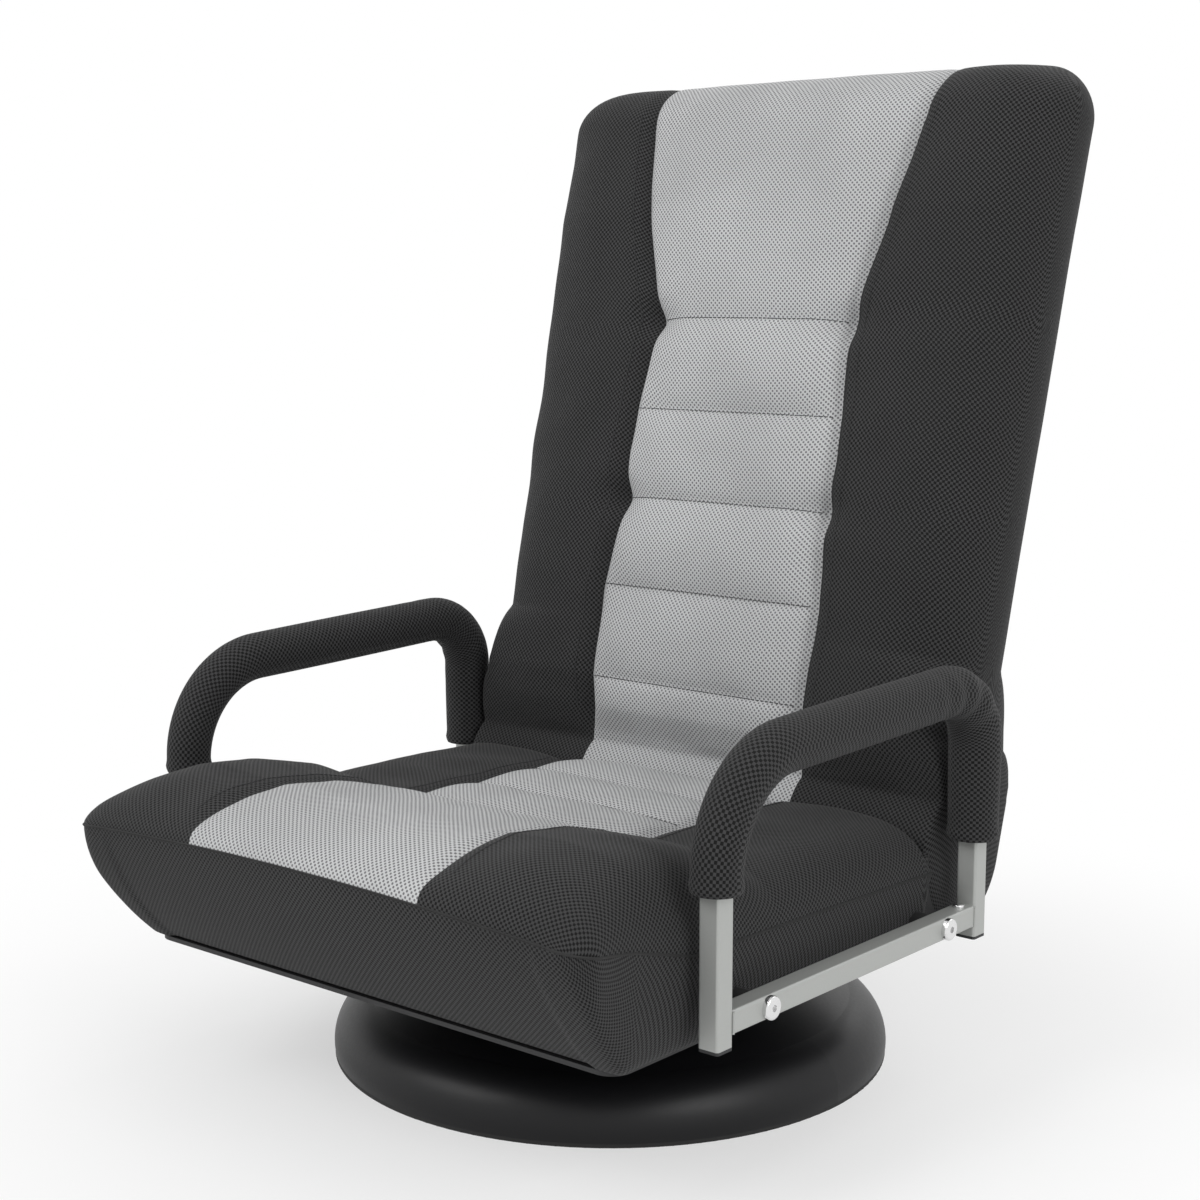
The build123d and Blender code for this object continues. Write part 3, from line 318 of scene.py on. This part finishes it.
def rounded(past, radius):
    """1 on the flat, falling to 0 on a quarter circle once past is above 0."""
    return np.sqrt(np.clip(1 - (np.clip(past, 0, None) / radius) ** 2, 0, 1))


def to_rim(share, power):
    """1 in the middle, falling to 0 at the rim; a higher power makes a squarer edge."""
    return np.sqrt(np.clip(1 - np.abs(share) ** power, 0, 1))


def bell(value, width):
    """1 at 0, dying away over the width on both sides."""
    return np.exp(-((value / width) ** 2))


def pillow(value, lines):
    """A row of soft rolls between sewn lines: 0 on a line, 1 between two."""
    roll = np.zeros_like(value)
    for low, high in zip(lines, lines[1:]):
        inside = (value >= low) & (value <= high)
        roll = np.where(inside, np.sin(np.pi * (value - low) / (high - low)) ** ROLL_FULLNESS, roll)
    return roll


def creases(x, y, size, amount):
    """Small soft unevenness of stuffed cloth, the same at every run."""
    flat = [noise.noise(Vector((a / size, b / size, NOISE_LAYER))) for a, b in zip(x.ravel(), y.ravel())]
    return amount * np.array(flat).reshape(x.shape)


def spread_columns(half_width, seam):
    """x of every column for each row: the grey panel between the seams, then each black side to the rim."""
    steps = np.linspace(0, 1, SIDE_COLUMNS + 1)
    side = seam[:, None] + (half_width - seam)[:, None] * (1 - (1 - steps) ** RIM_CROWDING)
    middle = seam[:, None] * np.linspace(-1, 1, GREY_COLUMNS + 1)
    return np.concatenate([-side[:, :0:-1], middle, side[:, 1:]], axis=1)


# %% [markdown]
# The back: upright on its hinge, then leaned. Its lower end is round about the hinge, so that it can turn
# in the seat. Five sewn lines cross the grey panel, and the head part above is plain. Two tufts on each seam
# pull the cloth in.

# %% Sizes of the back, in millimetres from the hinge
HINGE_Y = 128.0
HINGE_Z = 152.0
LEAN = math.radians(14)
BACK_TOP = 566.0
BACK_END = 52.0
BACK_HALF = 217.0
TOP_ROUND = 40.0
FLARE = 0.028
BACK_SEWN = [38.0, 84.0, 154.5, 225.0, 295.5, 366.0, 566.0]
BACK_SEAM = (
    (-60, 99), (84, 99), (154, 101), (225, 94), (262, 97),
    (296, 95), (366, 89), (440, 110), (520, 126), (570, 131),
)
BACK_FRONT = ((34, 40), (84, 57), (200, 58), (366, 57), (450, 60), (528, 54), (566, 50))
BACK_REAR = ((0, BACK_END), (528, 42), (566, 38))
BACK_SQUARENESS = ((50, 200), (75, 40), (130, 7))
HINGE_COVER = ((50, 2.5), (90, 0))
TUCK_TOP = 34.0
PLAIN_TOP = 40.0
BACK_PUFF = 9.0
BACK_SIDE_PUFF = 7.0
SEAM_PULL = 5.0
SEAM_WIDTH = 4.0
PANEL_FLATNESS = 6
TUFTS = (225.0, 366.0)
TUFT_PULL = 9.0
TUFT_WIDTH = 18.0
TUFT_HEIGHT = 13.0
THIN_EDGE = 30.0
DETAIL_FROM = 30.0
DETAIL_FULL = 60.0
SIDE_FULLNESS = 0.8
FRONT_CREASES = {"size": 38.0, "amount": 2.0}
REAR_CREASES = {"size": 60.0, "amount": 1.2}
END_ROW_COUNT = 18
BACK_ROW_COUNT = 190


def lean(x, depth, up):
    """A point of the upright back, set on the hinge and leaned."""
    y = HINGE_Y + depth * math.cos(LEAN) + up * math.sin(LEAN)
    z = HINGE_Z - depth * math.sin(LEAN) + up * math.cos(LEAN)
    return np.stack([x, y, z], axis=-1)


# %% [markdown]
# Every point starts at half the cushion's thickness, thinned towards the rim. Pillows push the cloth out, and
# seams and tufts pull it in. Both fade away at the lower end, which stays round to turn in the seat.

# %% Back cushion
quarter = np.linspace(0, np.pi / 2, END_ROW_COUNT)
low_rows = -BACK_END * np.cos(quarter)[:-1]
straight_rows = np.linspace(0, BACK_TOP - TOP_ROUND, BACK_ROW_COUNT)
top_rows = BACK_TOP - TOP_ROUND + TOP_ROUND * np.sin(quarter)[1:]
back_rows = np.concatenate([low_rows, straight_rows, top_rows])
top_corner = TOP_ROUND * rounded(back_rows - BACK_TOP + TOP_ROUND, TOP_ROUND)
flare = FLARE * np.clip(back_rows, 0, None)
back_half = BACK_HALF + follow(back_rows, HINGE_COVER) + flare - TOP_ROUND + top_corner
back_seam = follow(back_rows, BACK_SEAM)
x = spread_columns(back_half, back_seam)
up = np.repeat(back_rows[:, None], x.shape[1], axis=1)
seam = back_seam[:, None]
rim_x = back_half[:, None]
tuck = np.sqrt(np.clip(BACK_END**2 - up**2, 0, None))
front_depth = np.where(up < TUCK_TOP, tuck, follow(up, BACK_FRONT))
rear_depth = np.where(up < 0, tuck, follow(up, BACK_REAR))
middle = 0.5 * (rear_depth - front_depth)
half = 0.5 * (rear_depth + front_depth) * rounded(up - BACK_TOP + TOP_ROUND, TOP_ROUND)
half = half * to_rim(x / rim_x, follow(up, BACK_SQUARENESS))
outside = np.abs(x) - seam
puff = np.where(
    outside < 0,
    BACK_PUFF * pillow(up, BACK_SEWN) * (1 - np.clip(np.abs(x) / seam, 0, 1) ** PANEL_FLATNESS),
    BACK_SIDE_PUFF * np.sin(np.pi * np.clip(outside / (rim_x - seam), 0, 1)) ** SIDE_FULLNESS * (up > 0),
)
seam_pull = SEAM_PULL * bell(outside, SEAM_WIDTH)
for tuft in TUFTS:
    seam_pull = seam_pull + TUFT_PULL * bell(outside, TUFT_WIDTH) * bell(up - tuft, TUFT_HEIGHT)
stuffed = fade(half, 0, THIN_EDGE)
crumpled = stuffed * (up > PLAIN_TOP)
detail = (puff - seam_pull) * fade(up, DETAIL_FROM, DETAIL_FULL) * stuffed
detail = detail + creases(x, up, **FRONT_CREASES) * crumpled
back_front = lean(x, middle - half - detail, up)
back_rear = lean(x, middle + half + creases(x, up, **REAR_CREASES) * crumpled, up)
cushion("back_cushion", back_front, back_rear, "back", ["back_cover", "back_foam"])

# %% [markdown]
# The seat: a thick roll at the front edge, then three sewn rolls up to the crease. The rim seam runs round
# the nose, and the cloth below it slants back to the bottom board like a tongue.

# %% Sizes of the seat, in millimetres
NOSE = -299.0
REAR_EDGE = 75.0
REAR_ROUND = 10.0
ROLL = -104.0
BOTTOM = 97.4
SEAT_HALF = 223.0
CORNER = 20.0
EAR = 7.0
EAR_FROM = -215.0
EAR_FULL = -285.0
EAR_CURVE = 1.5
BOW = 8.0
BOW_HALF = 230.0
BOW_FROM = -250.0
BOW_FULL = -290.0
NOSE_DEPTH = 62.0
NOSE_ROUND = 52.0
NOSE_SEAM = 0.1
NOSE_ROW_COUNT = 26
SEAT_ROW_COUNT = 120
REAR_ROW_COUNT = 8
SEAT_SEWN = [ROLL, -42.0, 20.0, 82.0]
SEAT_SEAM = ((-298, 104), (-235, 102), (-98, 99), (82, 98))
SEAT_CREST = (
    (NOSE, 214), (-262, 216), (-225, 218), (-180, 213), (-140, 203),
    (ROLL - 8, 189), (ROLL, 186), (0, 185), (60, 183), (75, 181),
)
SEAT_RIM = ((NOSE, 183), (-250, 174), (-190, 157), (REAR_EDGE, 150))
SEAT_SQUARENESS = ((-250, 9), (-180, 15))
UNDERSIDE_SQUARENESS = 60
SEAT_PUFF = 7.0
SEAT_SIDE_PUFF = 4.0
SEAT_SEAM_PULL = 4.0
SEAT_CREASES = {"size": 40.0, "amount": 1.8}
DETAIL_LIFT = 1 / 3
TONGUE_FROM = -244.0
TONGUE_STRAIGHT = 0.6
TONGUE_CURVE = 1.6
TUBE_WRAP = 2.2
TUBE_WRAP_FROM = 192.5
TUBE_WRAP_FULL = 194.5

# %% [markdown]
# The top is a lift from the rim seam to the crest, and the underside is a drop from the same seam. Both are 0
# on the rim, so the two sheets meet there.

# %% Seat cushion
nose_rows = NOSE + NOSE_DEPTH * np.linspace(0, 1, NOSE_ROW_COUNT) ** 2
middle_rows = np.linspace(NOSE + NOSE_DEPTH, REAR_EDGE - REAR_ROUND, SEAT_ROW_COUNT)
rear_rows = REAR_EDGE - REAR_ROUND * np.linspace(1, 0, REAR_ROW_COUNT) ** 2
seat_rows = np.concatenate([nose_rows[:-1], middle_rows[:-1], rear_rows])
ears = EAR * fade(seat_rows, EAR_FROM, EAR_FULL) ** EAR_CURVE
seat_half = SEAT_HALF + ears - CORNER + CORNER * rounded(NOSE + CORNER - seat_rows, CORNER)
seat_seam = follow(seat_rows, SEAT_SEAM)
x = spread_columns(seat_half, seat_seam)
y = np.repeat(seat_rows[:, None], x.shape[1], axis=1)
seam = seat_seam[:, None]
rim_x = seat_half[:, None]
crest = follow(y, SEAT_CREST)
rear_edge = rounded(y - REAR_EDGE + REAR_ROUND, REAR_ROUND)
bow = BOW * (1 - (x / BOW_HALF) ** 2) * fade(y, BOW_FROM, BOW_FULL)
rim = follow(y, SEAT_RIM) + bow
nose_edge = rounded(NOSE + NOSE_ROUND - y, NOSE_ROUND)
lift = nose_edge * rear_edge * to_rim(x / rim_x, follow(y, SEAT_SQUARENESS))
outside = np.abs(x) - seam
puff = np.where(
    outside < 0,
    SEAT_PUFF * pillow(y, SEAT_SEWN) * (1 - np.clip(np.abs(x) / seam, 0, 1) ** PANEL_FLATNESS),
    SEAT_SIDE_PUFF * np.sin(np.pi * np.clip(outside / (rim_x - seam), 0, 1)),
)
sewn_pull = SEAT_SEAM_PULL * bell(outside, SEAM_WIDTH) + creases(x, y, **SEAT_CREASES)
top = rim + (crest - rim) * lift + (puff - sewn_pull) * fade(lift, DETAIL_LIFT, 1)
slope = fade(y, TONGUE_FROM, NOSE)
curved = 1 - np.sqrt(np.clip(1 - slope**TONGUE_CURVE, 0, 1))
tongue = TONGUE_STRAIGHT * slope + (1 - TONGUE_STRAIGHT) * curved
tube_wrap = TUBE_WRAP * fade(np.abs(x), TUBE_WRAP_FROM, TUBE_WRAP_FULL)
under = BOTTOM - tube_wrap + (rim - BOTTOM) * tongue
drop = np.where(y < NOSE + NOSE_SEAM, 0, to_rim(x / rim_x, UNDERSIDE_SQUARENESS) * rear_edge)
seat_top = np.stack([x, y, top], axis=-1)
seat_low = np.stack([x, y, rim - (rim - under) * drop], axis=-1)
cushion("seat_cushion", seat_top, seat_low, "seat", ["seat_cover", "seat_foam"])

# %% [markdown]
# On the real chair the cover runs on under the back's round end. This tail of the seat closes the wedge
# there: one side view, hollowed to a hair more than the back's radius, and swept across the chair.

# %% Seat tail
TAIL_HALF = 220.5
TAIL_FRONT = 52.0
TAIL_SHOULDER = 150.0
TAIL_RADIUS = 52.8
TAIL_LIP = 3.0
HOLLOW_FROM = math.radians(168)
HOLLOW_TO = math.radians(258)
HOLLOW_POINTS = 24
TAIL_COLUMNS = 41


def in_hollow(angle):
    return HINGE_Y + TAIL_RADIUS * math.cos(angle), HINGE_Z + TAIL_RADIUS * math.sin(angle)


tail_side = [(TAIL_FRONT, BOTTOM), (TAIL_FRONT, TAIL_SHOULDER)]
tail_side += [in_hollow(angle) for angle in np.linspace(HOLLOW_FROM, HOLLOW_TO, HOLLOW_POINTS)]
tail_side += [(in_hollow(HOLLOW_TO)[0] - TAIL_LIP, BOTTOM)]
tail_side = np.array(tail_side)
tail_x = TAIL_HALF * np.sin(np.linspace(-math.pi / 2, math.pi / 2, TAIL_COLUMNS))
count = len(tail_side)
tail_points = np.array([(px, py, pz) for px in tail_x for py, pz in tail_side])
tail_faces = [tuple(range(count)), tuple(range(len(tail_points) - 1, len(tail_points) - count - 1, -1))]
for j in range(len(tail_x) - 1):
    for i in range(count):
        k = (i + 1) % count
        tail_faces.append((j * count + k, j * count + i, (j + 1) * count + i, (j + 1) * count + k))
round_side = lengths(tail_side, 0)
tail_uvs = [(tail_points[corner][0], round_side[corner % count]) for face in tail_faces for corner in face]
cloth_piece("seat_tail", tail_points, tail_faces, tail_uvs, "seat", smooth=False)

# %% [markdown]
# Each arm loop wears a padded sleeve, open at both ends. A tube is swept along the loop's own route, a little
# fuller on top, with folds where the cloth is pushed together in the rear bend and a rolled hem at each end.
# A bevelled curve could give the tube, but not the folds, the seam inside and the turned-in hem.

# %% Route of an arm
SIDES = (("left", 1), ("right", -1))
ARM_X = 239.5
ARM_ROUTE = ((-189.5, 199.0), (-189.5, 273.0), (101.0, 281.0), (101.0, 173.0))
ARM_BENDS = (68.0, 42.0)
ARM_STEP = 2.2
BEND_POINTS = 24


def rounded_route(points, bends, step):
    """Points about one step apart along a line whose corners are rounded, and their distance along it."""
    points = [np.array(p) for p in points]
    trail = [points[0]]
    for before, here, after, bend in zip(points, points[1:], points[2:], bends):
        a = (before - here) / np.linalg.norm(before - here)
        b = (after - here) / np.linalg.norm(after - here)
        angle = math.acos(float(a @ b))
        reach = bend / math.tan(angle / 2)
        centre = here + (a + b) / np.linalg.norm(a + b) * bend / math.sin(angle / 2)
        start = here + a * reach - centre
        stop = here + b * reach - centre
        sweep = math.pi - angle
        for t in np.linspace(0, 1, BEND_POINTS):
            spoke = (math.sin((1 - t) * sweep) * start + math.sin(t * sweep) * stop) / math.sin(sweep)
            trail.append(centre + spoke)
    trail.append(points[-1])
    trail = np.array(trail)
    length = lengths(trail, 0)
    marks = np.linspace(0, length[-1], int(length[-1] / step))
    return np.stack([np.interp(marks, length, trail[:, k]) for k in (0, 1)], axis=1), marks


route, marks = rounded_route(ARM_ROUTE, ARM_BENDS, ARM_STEP)
sleeve_end = marks[-1]
print("sleeve length", round(float(sleeve_end)), "mm")

# %% [markdown]
# A ring of points lies round each place of the route. Its radius adds up the padding, the folds, the hem and
# the seam inside. At both ends a few smaller rings turn the cloth in towards the tube.

# %% Arm sleeves
AROUND = 40
SLEEVE_RADIUS = 15.2
SLEEVE_SWELL = 2.2
REAR_SWELL = 1.4
REAR_SWELL_FROM = 140.0
REAR_SWELL_FULL = 80.0
FOLD_DEPTH = 0.9
FOLD_PITCH = 3.2
FOLD_REACH = 38.0
FOLD_FROM_END = 115.0
HEM_PLACE = 4.0
HEM_WIDTH = 3.0
HEM_RINGS = 6
LINING_RADIUS = 10.902
INNER_SEAM = math.radians(225)
INNER_SEAM_DEPTH = 0.9
INNER_SEAM_WIDTH = 0.12
SLEEVE_UV_RADIUS = 16

heading = np.gradient(route, axis=0)
heading /= np.linalg.norm(heading, axis=1)[:, None]
turn = np.linspace(0, 2 * np.pi, AROUND + 1)
fullness = SLEEVE_RADIUS + SLEEVE_SWELL * np.clip(np.sin(np.pi * marks / sleeve_end), 0, 1) ** 0.5
rear_swell = ((sleeve_end - REAR_SWELL_FROM, 0), (sleeve_end - REAR_SWELL_FULL, REAR_SWELL))
fullness = fullness + follow(marks, rear_swell)
folds = FOLD_DEPTH * np.sin(marks / FOLD_PITCH) * bell(marks - (sleeve_end - FOLD_FROM_END), FOLD_REACH)
hem = bell(marks - HEM_PLACE, HEM_WIDTH) + bell(sleeve_end - HEM_PLACE - marks, HEM_WIDTH)
inner_seam = INNER_SEAM_DEPTH * bell(turn - INNER_SEAM, INNER_SEAM_WIDTH)
radius = (fullness + hem)[:, None] + folds[:, None] * np.clip(np.cos(turn), 0, 1) - inner_seam
out_y = route[:, :1] + radius * np.sin(turn) * -heading[:, 1:]
out_z = route[:, 1:] + radius * np.sin(turn) * heading[:, :1]
for side, sign in SIDES:
    grid = np.stack([sign * (ARM_X + radius * np.cos(turn)), out_y, out_z], axis=-1)
    centre = np.stack([np.full(len(marks), sign * ARM_X), route[:, 0], route[:, 1]], axis=-1)[:, None]
    lining = centre + (grid - centre) * (LINING_RADIUS / radius)[..., None]
    rings = np.concatenate([lining[:HEM_RINGS][::-1], grid, lining[-HEM_RINGS:][::-1]])
    ids = np.arange(len(rings) * AROUND).reshape(len(rings), AROUND)
    along = lengths(rings[:, 0], 0)
    faces, uvs = [], []
    for j in range(len(rings) - 1):
        for i in range(AROUND):
            corners = [(j, i), (j, i + 1), (j + 1, i + 1), (j + 1, i)]
            if sign > 0:
                corners.reverse()
            faces.append([ids[a, b % AROUND] for a, b in corners])
            uvs.extend((turn[b] * SLEEVE_UV_RADIUS, along[a]) for a, b in corners)
    sleeve_points = rings[:, :-1].reshape(-1, 3)
    node = f"arm_sleeve_{side}"
    cloth_piece(f"arm_sleeve_cloth_{side}", sleeve_points, faces, uvs, "seat", replaced=[node])

# %% [markdown]
# Stitches are the same small shape over and over, so Geometry Nodes lay them: a line becomes a curve, points
# are set along it at a fixed spacing, and a short round thread is placed at each and turned along the line.

# %% Stitch nodes
THREAD_SIDES = 6


def stitch_tree():
    tree = bpy.data.node_groups.new("stitch_row", "GeometryNodeTree")
    tree.interface.new_socket("Geometry", in_out="INPUT", socket_type="NodeSocketGeometry")
    for name in ("Spacing", "Length", "Thickness"):
        tree.interface.new_socket(name, in_out="INPUT", socket_type="NodeSocketFloat")
    tree.interface.new_socket("Thread", in_out="INPUT", socket_type="NodeSocketMaterial")
    tree.interface.new_socket("Geometry", in_out="OUTPUT", socket_type="NodeSocketGeometry")
    make = tree.nodes.new
    link = tree.links.new
    entry = make("NodeGroupInput")
    leave = make("NodeGroupOutput")
    line = make("GeometryNodeMeshToCurve")
    spaced = make("GeometryNodeResampleCurve")
    spaced.mode = "LENGTH"
    thread = make("GeometryNodeMeshCylinder")
    thread.inputs["Vertices"].default_value = THREAD_SIDES
    place = make("GeometryNodeInstanceOnPoints")
    along = make("GeometryNodeInputTangent")
    aim = make("FunctionNodeAlignRotationToVector")
    real = make("GeometryNodeRealizeInstances")
    paint = make("GeometryNodeSetMaterial")
    link(entry.outputs["Geometry"], line.inputs[0])
    link(line.outputs[0], spaced.inputs["Curve"])
    link(entry.outputs["Spacing"], spaced.inputs["Length"])
    link(entry.outputs["Length"], thread.inputs["Depth"])
    link(entry.outputs["Thickness"], thread.inputs["Radius"])
    link(spaced.outputs[0], place.inputs["Points"])
    link(thread.outputs["Mesh"], place.inputs["Instance"])
    link(along.outputs[0], aim.inputs["Vector"])
    link(aim.outputs[0], place.inputs["Rotation"])
    link(place.outputs[0], real.inputs[0])
    link(real.outputs[0], paint.inputs["Geometry"])
    link(entry.outputs["Thread"], paint.inputs["Material"])
    link(paint.outputs[0], leave.inputs[0])
    return tree


stitch_nodes = stitch_tree()


def stitches(name, lines, sizes, thread, body):
    """One mesh of stitches along several lines of points; sizes are in millimetres."""
    points, edges = [], []
    for line in lines:
        start = len(points)
        points.extend(line)
        edges.extend((k, k + 1) for k in range(start, len(points) - 1))
    mesh = bpy.data.meshes.new(name + "_line")
    mesh.from_pydata((np.array(points) * MM).tolist(), edges, [])
    guide = bpy.data.objects.new(name + "_line", mesh)
    scene.collection.objects.link(guide)
    modifier = guide.modifiers.new("stitches", "NODES")
    modifier.node_group = stitch_nodes
    values = {key: size * MM for key, size in sizes.items()}
    values["Thread"] = thread
    for item in stitch_nodes.interface.items_tree:
        if item.in_out == "INPUT" and item.name in values:
            modifier[item.identifier] = values[item.name]
    bpy.context.view_layer.update()
    laid = guide.evaluated_get(bpy.context.evaluated_depsgraph_get())
    done = bpy.data.meshes.new_from_object(laid)
    bpy.data.objects.remove(guide)
    piece = bpy.data.objects.new(name, done)
    scene.collection.objects.link(piece)
    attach(piece, body)
    print(name, len(done.polygons), "faces")


# %% [markdown]
# The sewn lines across the grey panels and both long seams are stitched. The same nodes lay the piping on the
# seat's rim, where thick threads overlap into one cord.

# %% Stitches and piping
STITCH = {"Spacing": 4.2, "Length": 3.0, "Thickness": 0.35}
PIPING = {"Spacing": 3.0, "Length": 3.6, "Thickness": 0.9}
STITCH_LIFT = 0.3
BACK_SEAM_FROM = 60.0
BACK_ROWS_LEFT = 16
SEAT_SEAM_ROWS = slice(14, -10)
SEAM_COLUMNS = (GREY_FIRST - 2, GREY_LAST + 2)
PANEL_COLUMNS = slice(GREY_FIRST + 2, GREY_LAST - 1)


def nearest(rows, place):
    return int(np.argmin(np.abs(rows - place)))


off_back = STITCH_LIFT * np.array([0, -math.cos(LEAN), math.sin(LEAN)])
off_seat = STITCH_LIFT * np.array([0, 0, 1])
back_lines = [back_front[nearest(back_rows, line), PANEL_COLUMNS] + off_back for line in BACK_SEWN[1:-1]]
back_seam_rows = slice(nearest(back_rows, BACK_SEAM_FROM), -BACK_ROWS_LEFT)
back_lines += [back_front[back_seam_rows, column] + off_back for column in SEAM_COLUMNS]
stitches("back_stitches", back_lines, STITCH, thread_finish, "back")
seat_lines = [seat_top[nearest(seat_rows, line), PANEL_COLUMNS] + off_seat for line in SEAT_SEWN[:-1]]
seat_lines += [seat_top[SEAT_SEAM_ROWS, column] + off_seat for column in SEAM_COLUMNS]
stitches("seat_stitches", seat_lines, STITCH, thread_finish, "seat")
rim_line = np.concatenate([seat_top[:0:-1, 0], seat_top[0], seat_top[1:, -1]])
stitches("seat_piping", [rim_line], PIPING, finishes["black_rubber"], "seat")

# %% [markdown]
# The zip under the front edge is a run of small black plastic teeth on a tape. The same nodes lay them as
# short thick threads, and lay the weld beads at the foot of each arm in rows so close that they run together.

# %% Zip teeth and weld beads
ZIP_TOOTH = {"Spacing": 2.6, "Length": 1.3, "Thickness": 1.1}
WELD_BEAD = {"Spacing": 1.5, "Length": 1.6, "Thickness": 1.0}
ZIP_END = 10.0
BEAD_END = 1.5

zip_low, zip_high = (np.array(corner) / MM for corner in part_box("cover_zip"))
zip_y = 0.5 * (zip_low[1] + zip_high[1])
zip_ends = (zip_low[0] + ZIP_END, zip_high[0] - ZIP_END)
zip_line = np.array([[end, zip_y, zip_low[2]] for end in zip_ends])
stitches("zip_teeth", [zip_line], ZIP_TOOTH, finishes["black_plastic"], "seat")
beads = []
for side, sign in SIDES:
    rail_low, rail_high = (np.array(corner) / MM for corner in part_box(f"arm_rail_{side}"))
    outer = rail_high[0] if sign > 0 else rail_low[0]
    for weld_y in (rail_low[1], rail_high[1]):
        bead_low = [outer, weld_y, rail_low[2] + BEAD_END]
        bead_high = [outer, weld_y, rail_high[2] - BEAD_END]
        beads.append(np.array([bead_low, bead_high]))
stitches("weld_beads", beads, WELD_BEAD, finishes["silver_paint"], "seat")

# %% [markdown]
# The photograph has plain soft studio light on white. A pale floor takes the shadow, and the white behind
# is seen by the camera and in reflections only, so that it doesn't light the chair.

# %% Floor
FLOOR_REACH = 40
FLOOR_TONES = ((0.92, 0.92, 0.92), (0.94, 0.94, 0.94))
FLOOR_ROUGHNESS = 0.9
FLOOR_WHITE = 0.5
WHITE_FROM = 0.28
WHITE_FULL = 0.75


def background_rays(wire):
    """1 on rays that show the background: from the camera, off gloss or through something clear."""
    seen = wire.make("ShaderNodeLightPath", out="Is Camera Ray")
    path = seen.socket.node.outputs
    return seen + Wire(wire.tree, path["Is Glossy Ray"]) + Wire(wire.tree, path["Is Transmission Ray"])


floor_finish, shader, wire = new_finish("pale_floor")
place = wire.make("ShaderNodeTexCoord", out="Object")
tone = wire.make("ShaderNodeTexNoise", Vector=place, Scale=3.0)
join(tone.mix(*map(opaque, FLOOR_TONES)), shader, "Base Color")
shader.inputs["Roughness"].default_value = FLOOR_ROUGHNESS
distance = wire.make("ShaderNodeVectorMath", {"operation": "LENGTH"}, 1, i0=place)
whiteness = FLOOR_WHITE + distance.ramp(WHITE_FROM, WHITE_FULL) * (1 - FLOOR_WHITE)
white = wire.make("ShaderNodeEmission", Color=(1, 1, 1, 1), Strength=1.0)
painted = Wire(wire.tree, shader.outputs[0])
blend = wire.make("ShaderNodeMixShader", i0=background_rays(wire) * whiteness, i1=painted, i2=white)
join(blend, floor_finish.node_tree.nodes["Material Output"], "Surface")
ground = bpy.data.meshes.new("studio_floor")
ground_corners = [(FLOOR_REACH * a, FLOOR_REACH * b, 0) for a, b in ((-1, -1), (1, -1), (1, 1), (-1, 1))]
ground.from_pydata(ground_corners, [], [(0, 1, 2, 3)])
ground.materials.append(floor_finish)
floor = bpy.data.objects.new("studio_floor", ground)
scene.collection.objects.link(floor)
print("floor", 2 * FLOOR_REACH, "m wide")

# %% [markdown]
# Light comes from three soft panels and a dim white sky. The panels stand in front, at the side and behind,
# so that black cloth keeps its shape without hard shadows.

# %% Light
SKY_STRENGTH = 0.55
LAMP_TARGET = Vector((0, 0, 0.3))
LAMPS = (
    ("key_light", (-1.2, -2.2, 2.4), 2.0, 46),
    ("side_light", (2.6, -0.6, 1.8), 1.6, 30),
    ("rear_light", (0.2, 2.4, 2.2), 1.6, 22),
)

world = bpy.data.worlds.new("studio")
scene.world = world
world.use_nodes = True
sky = Wire(world.node_tree, None)
backing = world.node_tree.nodes["Background"]
backing.inputs["Color"].default_value = (1, 1, 1, 1)
join(background_rays(sky) * (1 - SKY_STRENGTH) + SKY_STRENGTH, backing, "Strength")
for name, spot, size, power in LAMPS:
    lamp = bpy.data.lights.new(name, "AREA")
    lamp.size = size
    lamp.energy = power
    light = bpy.data.objects.new(name, lamp)
    light.location = spot
    light.rotation_euler = (LAMP_TARGET - Vector(spot)).to_track_quat("-Z", "Y").to_euler()
    scene.collection.objects.link(light)
print("lamps", len(LAMPS))

# %% [markdown]
# The camera was solved from the photograph: where it stands, how far it is turned and tipped, and its focal
# length in pixels of the picture. Three unit vectors make its matrix.

# %% Camera
VIEW_TURN = math.radians(40.3)
VIEW_PITCH = math.radians(8.47)
VIEW_PLACE = (0.952, -1.134, 0.546)
FOCAL_PIXELS = 2104.0
PICTURE_PIXELS = 1200
SENSOR = 36

lens = bpy.data.cameras.new("photo_camera")
lens.sensor_width = SENSOR
lens.lens = FOCAL_PIXELS / PICTURE_PIXELS * SENSOR
camera = bpy.data.objects.new("photo_camera", lens)
level = math.cos(VIEW_PITCH)
away = Vector((math.sin(VIEW_TURN) * level, -math.cos(VIEW_TURN) * level, math.sin(VIEW_PITCH)))
right = Vector((math.cos(VIEW_TURN), math.sin(VIEW_TURN), 0))
upward = away.cross(right)
aim = Matrix((right, upward, away)).transposed().to_4x4()
camera.matrix_world = Matrix.Translation(VIEW_PLACE) @ aim
scene.collection.objects.link(camera)
scene.camera = camera
print("focal length", round(lens.lens, 1), "mm")
